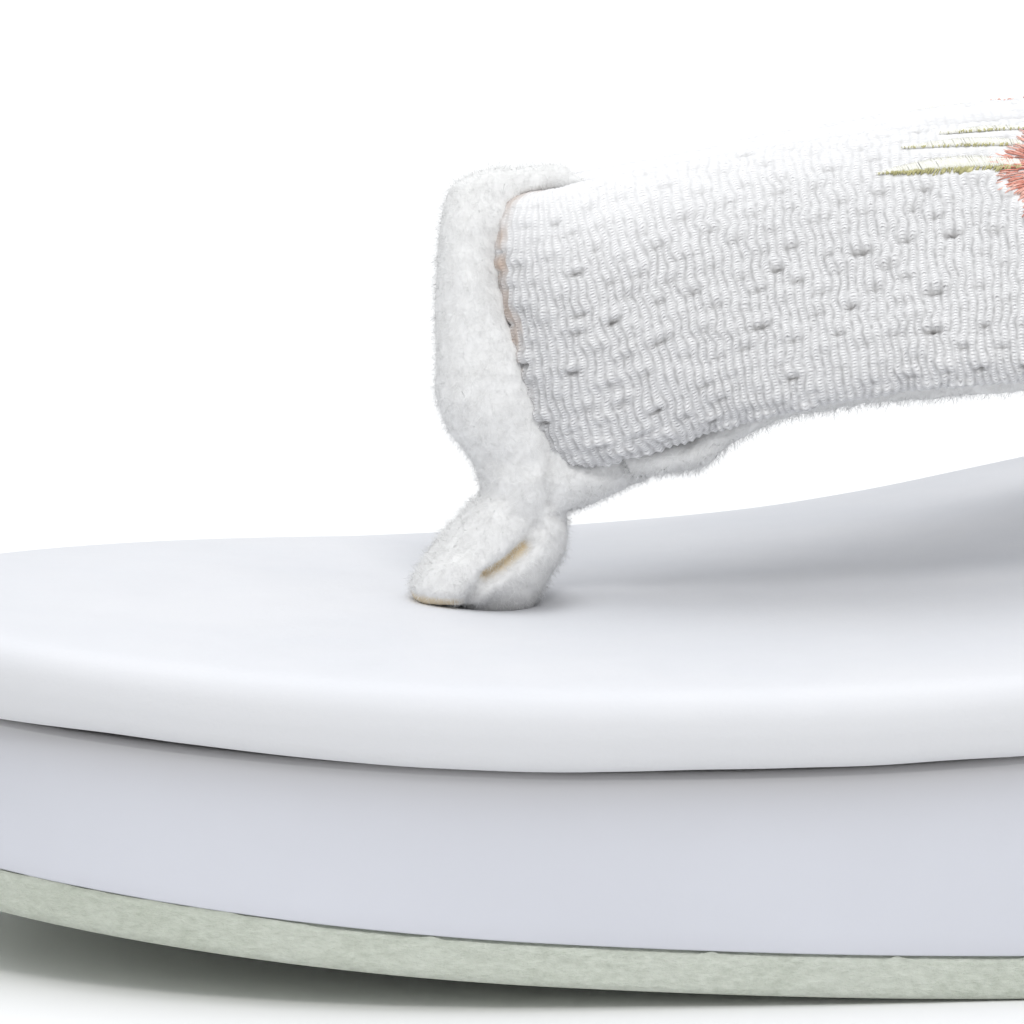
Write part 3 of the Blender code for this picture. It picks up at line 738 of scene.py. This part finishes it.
def float_blocks(rib, across, seed):
    """Raised floats of three ribs with a pit under each: height, pits, and the sideways push on ribs."""
    rng = np.random.default_rng(seed)
    lift, pit, push = np.zeros_like(rib), np.zeros_like(rib), np.zeros_like(rib)
    last = int(rib.max()) + 6
    for row, v in enumerate(np.arange(-14.0, 14.0, 1.55)):
        for p in np.arange((row % 2) * 2.4, last, 4.8):
            centre = p + rng.uniform(-0.9, 0.9)
            middle = v + rng.uniform(-0.28, 0.28)
            tall = rng.uniform(0.42, 0.70)
            wide = rng.uniform(1.1, 1.9)
            strength = rng.uniform(0.35, 1.0)
            deep = strength * (1.0 if rng.random() < 0.5 else 0.4)
            turn = rng.uniform(-1, 1)
            near = (np.abs(rib - centre) < 6) & (np.abs(across - middle) < 2.6)
            if not near.any():
                continue
            a = (rib[near] - centre) / wide
            b = (across[near] - middle) / tall
            arched = b + 0.45 * a**2
            block = np.clip(1 - a**4, 0, 1) * np.clip(1 - arched**4, 0, 1)
            lift[near] += strength * block * (0.7 + 0.3 * arched)
            below = (across[near] - (middle - tall * 0.95)) / 0.17
            pit[near] += deep * np.exp(-((a / 0.6) ** 2) - below**2)
            spread = a * (np.exp(-(b**2)) - 0.8 * np.exp(-((b + 1.7) ** 2)))
            spread += turn * b * np.exp(-((b / 1.3) ** 2))
            push[near] += strength * np.exp(-((a / 1.5) ** 2)) * spread
    return lift, pit, push


def sheath_edge(points):
    """How far a point of the strap lies outside the thong's sheath, across the shoe."""
    up = (points[..., 2] - float(top_height(FRONT_HOLE_AT))) / THONG_HEIGHT
    half = np.interp(up, SHEATH[:, 0], SHEATH[:, 1]) / 1000
    return np.abs(points[..., 1]) - half


def across_table():
    """Places round the section with millimetres across the face from its middle line."""
    q = np.concatenate([
        np.linspace(-0.6, 8.6, OUTER_COLUMNS),
        np.linspace(8.6, 13.4, INNER_COLUMNS + 2)[1:-1],
    ])
    shape = section_at(q)
    flat = np.stack([shape[:, 0] * STRAP_WIDTH / 2, shape[:, 1] * STRAP_THICK], 1)
    across = travel(flat) * 1000
    return q, across - np.interp(4.0, q[:OUTER_COLUMNS], across[:OUTER_COLUMNS])


def make_weave(name, mirror, seed, *replaced):
    total = STRAP["length"][-1]
    ribs = int(total / RIB_PITCH)
    rib = np.arange(ribs * RIB_SAMPLES + 1) / RIB_SAMPLES
    q, across = across_table()
    P, V = np.meshgrid(rib, across, indexing="ij")
    outer = np.interp(q, RELIEF[:, 0], RELIEF[:, 1])[None, :]
    flat = outer * (1 - 0.85 * stitched_share(P * RIB_PITCH * 1000, V)) * (1 - 0.35 * fade(V, 2, 8))
    lift, pit, push = float_blocks(P, V, seed + 2)
    wander = lattice_noise(P / 2.8, V / 1.05, seed) * RIB_WANDER
    wander += lattice_noise(P / 9, V / 3.0, seed + 1) * RIB_SWAY + push * FLOAT_PUSH
    ends = fade(P, 0, 4) * fade(ribs - P, 0, 4)
    length = np.clip(P * RIB_PITCH + wander * ends * np.clip(outer * 1.4, 0, 1), 0.0, total)
    base = strap_points(length, q[None, :])
    du = np.gradient(base, axis=0)
    dv = np.roll(base, -1, axis=1) - np.roll(base, 1, axis=1)
    normal = unit(np.cross(du, dv))
    within = (np.arange(len(rib)) % RIB_SAMPLES) / RIB_SAMPLES
    profile = (np.sin(math.pi * within) ** 2.3)[:, None]
    swell = 0.85 + 0.30 * lattice_noise(P / 3, V / 0.9, seed + 4)
    crepe = lattice_noise(P / 3.4, V / 1.5, seed + 3)
    height = RIB_HEIGHT * profile * swell + CREPE_DEPTH * crepe + FLOAT_HEIGHT * lift - PIT_DEPTH * pit
    height *= flat * ends ** 0.5
    points = base + normal * height[..., None]
    beside = fade(sheath_edge(points), 0.0008, 0.0002)
    upper = np.maximum(fade(points[..., 2], 0.038, 0.042), 0.25)
    upper *= fade(from_toe(points), 0.0515, 0.0495)
    # A negative tint carries the pits' painted shade to the material.
    tint = beside * upper * (0.55 + 0.45 * lattice_noise(P / 1.5, V / 1.2, seed + 5)) * 0.8 - pit * flat
    faces = tube_faces(len(rib), len(q))
    if mirror:
        points = points * MIRROR
        faces = [f[:, ::-1] for f in faces]
    weave = np.stack([P, V, np.clip(tint, -1, 1)], -1).reshape(-1, 3)
    made = mesh_object(name, points, faces, {"weave": weave, "relief": flat.ravel()})
    place(made, weave_silk(), "strap_weave", *replaced)


# Embroidery: places in millimetres along the strap from the nose and across its face from the middle

Leaf = namedtuple("Leaf", "root tip cream olive")
LEAVES = [
    Leaf((41.2, 5.2), (31.3, 5.9), 1.25, 0.50),
    Leaf((41.2, 7.4), (33.2, 8.2), 0.85, 0.14),
    Leaf((41.6, 9.3), (35.8, 9.4), 0.60, 0.10),
    Leaf((51.4, 6.6), (60.6, 7.4), 1.10, 0.50),
    Leaf((51.0, 4.0), (58.8, 1.6), 1.00, 0.45),
    Leaf((49.0, 1.0), (53.4, -3.2), 0.85, 0.40),
]
BLOSSOM = (44.5, 5.0)
PETAL_REACH = 5.9
PETAL_HALF = 3.9
PETALS = 5
THREAD_STEPS = 4
THREAD_WIDE = 0.15
THREAD_HIGH = 0.00009
STITCH_LIFT = 0.00016


def stitched_share(along, across):
    """How much of the weave is covered by stitches."""
    share = np.clip(0.95 - np.hypot(along - BLOSSOM[0], across - BLOSSOM[1]) / PETAL_REACH, 0, 0.25) * 4
    for leaf in LEAVES:
        (ra, rv), (ta, tv) = leaf.root, leaf.tip
        reach = math.hypot(ta - ra, tv - rv)
        ua, uv = (ta - ra) / reach, (tv - rv) / reach
        t = np.clip(((along - ra) * ua + (across - rv) * uv) / reach, 0, 1)
        off = np.hypot(along - ra - t * (ta - ra), across - rv - t * (tv - rv))
        share = np.maximum(share, np.clip(1.15 - off / 0.75, 0, 1) * np.maximum(fade(t, 1, 0.9), 0.2))
    return share


def leaf_stitches(leaf, rng):
    """Slanted satin stitches on both sides of a leaf's midline: cream above, olive below."""
    root, tip = np.array(leaf.root), np.array(leaf.tip)
    reach = np.linalg.norm(tip - root)
    way = (tip - root) / reach
    side = np.array([-way[1], way[0]])
    side = side if side[1] > 0 else -side
    cream, olive = [], []
    for t in np.arange(0.0, 1.0, 0.075 / reach):
        middle = root + way * reach * t
        swell = math.sin(math.pi * (0.12 + 0.88 * t) ** 0.85) ** 0.8
        slant = way * 0.5
        for width, group in ((leaf.cream, cream), (-leaf.olive, olive)):
            if rng.random() < (0.7 if abs(width) < 0.15 else 0.25 if width < 0 else 0.0):
                continue
            ragged = 0.6 if width < 0 else 0.06
            tall = width * swell * rng.uniform(1 - ragged, 1 + ragged / 2)
            end = middle + side * tall + slant * abs(tall) * rng.uniform(0.8, 1.0)
            group.append((middle + side * rng.uniform(0.0, 0.22) * (1 if width < 0 else -0.3), end))
    return cream, olive


def blossom_stitches(rng):
    """Five petals of radial stitches in three shades, with a heart of short gold stitches."""
    pale, coral, deep, gold = [], [], [], []
    centre = np.array(BLOSSOM)
    for k in range(PETALS):
        turn = math.radians(36 + 72 * k)
        way = np.array([math.cos(turn), math.sin(turn)])
        side = np.array([-way[1], way[0]])
        for u in np.arange(-1.0, 1.0001, 0.058) + rng.uniform(-0.02, 0.02, 35):
            lean = way + side * u * PETAL_HALF / PETAL_REACH * 1.15
            lean /= np.linalg.norm(lean)
            rim = PETAL_REACH * (1 - 0.30 * abs(u) ** 2.6) * (1 - 0.05 * math.exp(-(u / 0.15) ** 2))
            rim *= rng.uniform(0.86, 1.04)
            for start, stop, group in (
                (1.0, 0.78, pale), (0.86, 0.62, coral), (0.68, 0.46, pale),
                (0.52, 0.34, coral), (0.38, 0.20, deep),
            ):
                if rng.random() < 0.16:
                    continue
                if rng.random() < 0.3:
                    group = (pale, coral, deep)[rng.integers(3)]
                a, b = start * rng.uniform(0.94, 1.0), stop * rng.uniform(0.92, 1.12)
                drift = side * rng.uniform(-0.05, 0.05)
                group.append((centre + lean * rim * a, centre + lean * rim * b + drift))
    for turn in np.arange(0, 2 * math.pi, 0.17):
        way = np.array([math.cos(turn), math.sin(turn)])
        gold.append((centre + way * 0.2, centre + way * rng.uniform(0.9, 1.9)))
    return pale, coral, deep, gold


def stitch_mesh(name, stitches, rng):
    """Each stitch is a narrow raised thread with tucked ends, on both straps."""
    q_table, across = across_table()
    q_table, across = q_table[:OUTER_COLUMNS], across[:OUTER_COLUMNS]
    t = np.linspace(0, 1, THREAD_STEPS)
    ring = np.array([(-1.0, 0.0), (0.0, 0.85), (1.0, 0.0), (0.0, -0.5)])
    start, stop = np.array(stitches).transpose(1, 0, 2)
    line = start[:, None] * (1 - t)[:, None] + stop[:, None] * t[:, None]
    way = unit(stop - start)
    aside = np.stack([-way[:, 1], way[:, 0]], 1)
    line += aside[:, None] * (rng.uniform(-0.05, 0.05, (len(stitches), 1)) * np.sin(math.pi * t))[..., None]
    fullness = np.sin(math.pi * (0.06 + 0.88 * t)) ** 0.35
    wide = THREAD_WIDE / 2 * rng.uniform(0.8, 1.15, len(stitches))[:, None] * fullness
    flat = line[:, :, None] + aside[:, None, None] * wide[..., None, None] * ring[None, None, :, :1]
    lift = STITCH_LIFT * np.sin(math.pi * (0.10 + 0.80 * t)) ** 0.7
    lift = lift + rng.uniform(0, 0.00005, (len(stitches), 1))
    rise = lift[..., None] + THREAD_HIGH * ring[None, None, :, 1]
    length = flat[..., 0] / 1000
    q = np.interp(flat[..., 1], across, q_table)
    base = strap_points(length, q)
    step = 0.0003
    du = strap_points(length + step, q) - strap_points(length - step, q)
    dq = strap_points(length, q + 0.05) - strap_points(length, q - 0.05)
    normal = unit(np.cross(du, dq))
    points = base + normal * rise[..., None]
    count, sides = len(stitches), len(ring)
    offset = np.arange(2 * count)[:, None, None] * THREAD_STEPS * sides
    faces = [(f[None] + offset).reshape(-1, f.shape[1]) for f in tube_faces(THREAD_STEPS, sides)]
    made = mesh_object(name, np.concatenate([points, points * MIRROR]), faces)
    fix_normals(made)
    return made


def make_embroidery():
    rng = np.random.default_rng(57)
    cream, olive = [], []
    for leaf in LEAVES:
        for group, more in zip((cream, olive), leaf_stitches(leaf, rng)):
            group += more
    pale, coral, deep, gold = blossom_stitches(rng)
    threads = (
        ("stitches_cream", cream, (0.90, 0.90, 0.85), (0.84, 0.83, 0.76)),
        ("stitches_olive", olive, (0.62, 0.59, 0.31), (0.40, 0.38, 0.18)),
        ("stitches_salmon", pale, (0.90, 0.60, 0.52), (0.84, 0.47, 0.39)),
        ("stitches_coral", coral, (0.82, 0.40, 0.32), (0.70, 0.27, 0.20)),
        ("stitches_rust", deep, (0.60, 0.22, 0.15), (0.46, 0.16, 0.11)),
        ("stitches_gold", gold, (0.62, 0.40, 0.17), (0.48, 0.28, 0.12)),
    )
    for name, stitches, colour, dark in threads:
        silk = thread(name.replace("stitches", "thread"), colour, dark)
        place(stitch_mesh(name, stitches, rng), silk, None)


# Fleece

# A softened solid: the remesh, its smoothing, and how far the skin swells, and more so behind the nose
Felt = namedtuple("Felt", "voxel rounds swell behind")
THONG_FELT = Felt(0.00027, 10, -0.00008, 0.00034)
LINING_FELT = Felt(0.00045, 3, 0.00006, 0.00014)
Pile = namedtuple("Pile", "count length width lay")
THONG_PILE = Pile(46000, 0.00088, 0.000028, (0.1, 0.0, -0.6))
LINING_PILE = Pile(21000, 0.00110, 0.000032, (-0.5, 0.0, -0.7))
FELT_LUMPS, FELT_GRAIN = 0.00016, 0.00006
STRAY_SHARE = 0.5
FRINGE = 0.0011
LINING_FRONT = (-0.0011, 0.0, 0.0005)


def soften(node, felt):
    """A softer copy of a node: remeshed, smoothed and swollen back to its size."""
    made = link_object(node + "_fleece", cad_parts[node].data.copy())
    remesh = made.modifiers.new("remesh", "REMESH")
    remesh.mode = "VOXEL"
    remesh.voxel_size = felt.voxel
    smoothing = made.modifiers.new("smooth", "SMOOTH")
    smoothing.factor = 0.5
    smoothing.iterations = felt.rounds
    apply_modifiers(made)
    mesh = made.data
    co = vertex_array(mesh)
    normal = np.array([v.normal for v in mesh.vertices])
    lump = lattice_noise(co[:, 0] / 0.0016 + 7, co[:, 2] / 0.0016 + co[:, 1] / 0.0013, 31) * FELT_LUMPS
    fine = lattice_noise(co[:, 0] / 0.0005, co[:, 2] / 0.0005 + co[:, 1] / 0.0004, 32) * FELT_GRAIN
    behind = fade(from_toe(co), 0.0445, 0.0465) * felt.behind
    co += normal * (felt.swell + behind + lump + fine)[:, None]
    mesh.polygons.foreach_set("use_smooth", np.ones(len(mesh.polygons), bool))
    move_vertices(mesh, co)
    return made


def fibres(name, source, pile, surface, keep):
    """Fine pile on a mesh: bent blades lying over towards lay, shaded as the soft skin that they make."""
    mesh, count = source.data, pile.count
    mesh.calc_loop_triangles()
    triangles = np.array([t.vertices[:] for t in mesh.loop_triangles])
    co = vertex_array(mesh)
    normals = np.array([v.normal for v in mesh.vertices])
    a, b, c = (co[triangles[:, k]] for k in range(3))
    area = np.linalg.norm(np.cross(b - a, c - a), axis=1) / 2 * keep((a + b + c) / 3)
    pick = RNG.choice(len(triangles), count, p=area / area.sum())
    r1, r2 = np.sqrt(RNG.random(count)), RNG.random(count)
    weights = np.stack([1 - r1, r1 * (1 - r2), r1 * r2], 1)
    root, normal = (np.einsum("nk,nkd->nd", weights, table[triangles[pick]]) for table in (co, normals))
    normal = unit(normal)
    way = unit(np.array(pile.lay) + RNG.normal(0, 0.9, (count, 3)))
    way = unit(way - normal * np.sum(way * normal, axis=1, keepdims=True))
    stray = (RNG.random(count) < STRAY_SHARE)[:, None]
    long = pile.length * RNG.uniform(0.5, 1.25, count)[:, None]
    rise = np.where(stray, RNG.uniform(0.5, 2.2, (count, 1)), RNG.uniform(0.15, 0.7, (count, 1)))
    first = unit(way + normal * rise)
    turn = unit(way + np.cross(normal, way) * RNG.normal(0, 0.7, (count, 1)) + normal * (rise - 0.35))
    half = unit(np.cross(first, normal + RNG.normal(0, 0.3, (count, 3))))
    half = half * pile.width / 2 * np.where(stray, 0.6, 1.0)
    root = root - normal * 0.00005
    middle = root + first * long * 0.5
    tip = middle + turn * long * 0.5
    points = np.stack([root - half, root + half, middle + half * 0.8, middle - half * 0.8, tip], 1)
    start = np.arange(count)[:, None] * 5
    # The blades carry the painted shade at the strand's foot too.
    blade = {"blade": np.repeat(RNG.random(count), 5), "foot": np.repeat(foot_shade(root), 5)}
    faces = [start + np.array([0, 1, 2, 3]), start + np.array([3, 2, 4])]
    made = mesh_object(name, points.reshape(-1, 3), faces, blade)
    soft = unit(normal + 0.25 * unit(np.cross(half, first)))
    made.data.normals_split_custom_set_from_vertices(np.repeat(soft, 5, axis=0))
    place(made, surface, "fleece")


# Where the two strands of the thong part, and the leather core that shows there: s and height, in mm
GROOVE = np.array([(49.0, 29.1), (48.3, 27.9), (47.0, 26.9), (45.3, 25.7), (44.5, 24.5), (44.2, 23.7)]) / 1000
CORE = np.array([(48.2, 27.75), (47.2, 27.0), (46.1, 26.3), (45.3, 25.9)]) / 1000

# Where the sheath turns in above the rear strand
FOLD = np.array([(49.3, 34.6), (49.7, 32.6), (50.0, 30.8)]) / 1000


def line_distance(points, line):
    """Distance in the view from the side to a line of (s, height) points."""
    at = np.stack([from_toe(points), points[:, 2]], 1)
    best = np.full(len(at), 1.0)
    for a, b in zip(line, line[1:]):
        t = np.clip(((at - a) @ (b - a)) / ((b - a) @ (b - a)), 0, 1)
        best = np.minimum(best, np.linalg.norm(at - a - t[:, None] * (b - a), axis=1))
    return best


def core_share(points):
    """Where the thong's leather core shows: between the strands and along the front foot's edge."""
    s = from_toe(points)
    side = fade(np.abs(points[:, 1]), 0.0006, 0.0012)
    gap = np.clip(1.5 - line_distance(points, CORE) / 0.00032, 0, 1) * side
    foot = fade(points[:, 2] - top_height(s), 0.0011, 0.0008) * fade(s, 0.0440, 0.0430)
    return np.maximum(gap, foot * 0.85)


def foot_shade(points):
    """The fleece is in its own shade at the very foot of the rear strand."""
    s = from_toe(points)
    up = points[:, 2] - top_height(s)
    return 0.80 * np.exp(-np.clip(up - 0.0002, 0, None) / 0.00055) * fade(s, 0.0438, 0.0450)


def shape_thong(thong):
    """Press in the groove between the strands and curl up the lower edge of the front foot."""
    co = vertex_array(thong.data)
    s = from_toe(co)
    side = fade(np.abs(co[:, 1]), 0.0, 0.0015) * np.sign(co[:, 1])
    for line, deep, wide in ((GROOVE, 0.0009, 0.00055), (CORE, 0.0006, 0.00045), (FOLD, 0.0006, 0.00040)):
        press = deep * np.exp(-((line_distance(co, line) / wide) ** 2))
        co[:, 1] -= side * press
    under = fade(co[:, 2] - top_height(s), 0.0022, 0.0)
    edge = fade(np.abs(co[:, 1]), 0.0012, 0.0038) ** 1.5
    co[:, 2] += (0.0004 + 0.0004 * fade(s, 0.0435, 0.0455)) * under * edge
    # The sheath is narrow where it meets the straps' faces, at its top and at the straps' lower edge.
    behind, z = fade(s, 0.0440, 0.0462), co[:, 2]
    bottom = fade(z, 0.0385, 0.0355) * fade(z, 0.0325, 0.0340)
    co[:, 1] *= 1 - behind * (0.42 * fade(z, 0.0405, 0.0475) + 0.12 * bottom)
    low = fade(z, 0.0450, 0.0420) * fade(z, 0.0325, 0.0340)
    co[:, 0] += 0.00055 * behind * low * fade(np.abs(co[:, 1]), 0.0014, 0.0024)
    move_vertices(thong.data, co)


def lining_seen(points):
    """The lining's pile is thickest along its lower edge near the nose, where it shows."""
    middle = np.interp(points[:, 0], STRAP["centre"][:, 0], STRAP["centre"][:, 2])
    below = fade(middle - points[:, 2], 0.0035, 0.0065)
    return 0.01 + below**2 * np.maximum(fade(from_toe(points), 0.085, 0.075), 0.12)


def edge_fringe(co, flip):
    """The lining's lower edge swells out a little past the strap's."""
    at, known = co[:, 0], STRAP["centre"][:, 0]
    centre, across = (read_rows(at, known, STRAP[key]) for key in ("centre", "across"))
    half = np.interp(at, known, STRAP["width"]) / 2
    v = np.sum((co * flip - centre) * across, axis=1) / half
    share = fade(-v, 0.5, 0.95)
    window = fade(from_toe(co), 0.056, 0.064) * fade(from_toe(co), 0.120, 0.095)
    return co - across * flip * (FRINGE * window * share**2 * (3 - 2 * share))[:, None]


def make_fleece():
    thong = soften("toe_thong", THONG_FELT)
    shape_thong(thong)
    keep_values(thong.data, "tan", core_share(vertex_array(thong.data)))
    # The painted shade at the foot of the rear strand.
    keep_values(thong.data, "foot", foot_shade(vertex_array(thong.data)))
    place(thong, fleece("white_fleece_felt", tan=True), "fleece", "toe_thong")
    pile = fleece("white_fleece_pile", pile=True)
    covered = lambda points: 1 - 0.9 * np.clip(core_share(points) * 1.3, 0, 1)
    fibres("toe_thong_pile", thong, THONG_PILE, pile, covered)
    for node, flip in (("strap_lining_left", np.ones(3)), ("strap_lining_right", MIRROR)):
        lining = soften(node, LINING_FELT)
        co = vertex_array(lining.data)
        front = fade(co[:, 0] - co[:, 0].min(), 0.004, 0.0)
        co += front[:, None] * LINING_FRONT
        move_vertices(lining.data, edge_fringe(co, flip))
        place(lining, fleece(node + "_felt"), "fleece", node)
        fibres(node + "_pile", lining, LINING_PILE, pile, lining_seen)


# Holes: the share of the strap's length where its hole starts, and the tail hole's sizes

HOLE_FROM = 0.86
TAIL_LONG, TAIL_WIDE, TAIL_ROOM, TAIL_POINTS = 0.0029, 0.0031, 0.0084, 32


def hole_cutters():
    """Room for both straps and the thong's tail, as the solids leave it."""
    made = []
    total = STRAP["length"][-1]
    length = np.linspace(total * HOLE_FROM, total, 40)
    q = np.arange(0, 14, 0.25)
    ring = strap_points(length[:, None], q[None, :], SEAM_GAP)
    ring = np.concatenate([ring, ring[-1:] + (ring[-1:] - ring[-2:-1]) * 0.2])
    for side, way in ((ring, 1), (ring * MIRROR, -1)):
        faces = [f[:, ::way] for f in tube_faces(len(ring), len(q))]
        made.append(mesh_object("strap_hole", side, faces))
    turn = np.linspace(0, 2 * math.pi, TAIL_POINTS + 1)[:-1]
    x = FRONT_HOLE_AT - SOLE_LENGTH / 2 + TAIL_LONG * np.cos(turn)
    z = float(top_height(FRONT_HOLE_AT))
    levels = (z - TAIL_ROOM, z + INSOLE_THICK)
    rings = [np.stack([x, TAIL_WIDE * np.sin(turn), np.full(TAIL_POINTS, level)], 1) for level in levels]
    made.append(mesh_object("tail_hole", np.concatenate(rings), tube_faces(2, TAIL_POINTS)))
    for cutter in made:
        fix_normals(cutter)
    return made


# Studio

FLOOR_HALF = 6
SKY_LOW = 0.55
SKY_HIGH = 1.68
KEY_AT = (-0.10, -1.04, 1.00)
KEY_SPREAD = math.radians(13)
KEY_POWER = 0.88
# The photo's view: the camera's angles, its distance from the target and the frame's width there
ELEVATION = math.radians(8.967)
YAW = math.radians(-13.21)
DISTANCE = 0.9874
TARGET = (-0.076665, -0.020, 0.033054)
FRAME_WIDTH = 1024 * 0.0000703


def key_light():
    data = bpy.data.lights.new("key", "SUN")
    data.angle, data.energy, data.color = KEY_SPREAD, KEY_POWER, (1.0, 0.99, 0.975)
    made = link_object("key", data)
    made.location = KEY_AT
    made.rotation_mode = "QUATERNION"
    made.rotation_quaternion = (-Vector(KEY_AT)).to_track_quat("-Z", "Y")


def sky():
    """A pale sky, brighter towards the top."""
    world = bpy.data.worlds.new("studio")
    bpy.context.scene.world = world
    world.use_nodes = True
    tree = world.node_tree
    generated = add_node(tree, "TexCoord").outputs["Generated"]
    square = add_node(tree, "Math", operation="POWER")
    put(tree, add_node(tree, "SeparateXYZ", Vector=generated).outputs["Z"], square.inputs[0])
    put(tree, 2.0, square.inputs[1])
    limits = {"From_Min": 0.0, "From_Max": 1.0, "To_Min": SKY_LOW, "To_Max": SKY_HIGH}
    ramp = add_node(tree, "MapRange", Value=square.outputs[0], **limits)
    background = tree.nodes["Background"]
    put(tree, ramp.outputs["Result"], background.inputs["Strength"])
    put(tree, (0.97, 0.985, 1.0, 1.0), background.inputs["Color"])


def light_and_camera():
    corners = FLOOR_HALF * np.array([(-1, -1, 0), (1, -1, 0), (1, 1, 0), (-1, 1, 0)])
    floor = mesh_object("studio_floor", corners, [np.array([[0, 1, 2, 3]])])
    white = Surface("floor_white", (0.88, 0.88, 0.88), 0.9, Specular_IOR_Level=0.1)
    blotch = white.remap(white.noise(3.0), 0.3, 0.7)
    white.set(Base_Color=white.mix(blotch, (0.878, 0.879, 0.88), (0.882, 0.881, 0.88)))
    floor.data.materials.append(white.made)
    sky()
    key_light()
    camera = bpy.data.cameras.new("camera")
    made = link_object("camera", camera)
    flat = math.cos(ELEVATION)
    back = Vector((math.sin(YAW) * flat, -math.cos(YAW) * flat, math.sin(ELEVATION)))
    right = Vector((math.cos(YAW), math.sin(YAW), 0.0))
    up = back.cross(right)
    rotation = Matrix((right, up, back)).transposed()
    made.matrix_world = Matrix.Translation(Vector(TARGET) + back * DISTANCE) @ rotation.to_4x4()
    camera.sensor_width = 36.0
    camera.lens = camera.sensor_width / FRAME_WIDTH * DISTANCE
    camera.clip_start, camera.clip_end = 0.01, 100.0
    scene = bpy.context.scene
    scene.camera = made
    scene.view_settings.view_transform = "Standard"
    scene.view_settings.look = "None"


def main():
    make_weave("strap_weave_left", False, 41, "straps")
    make_weave("strap_weave_right", True, 71)
    make_sole(hole_cutters())
    make_embroidery()
    make_fleece()
    light_and_camera()


main()
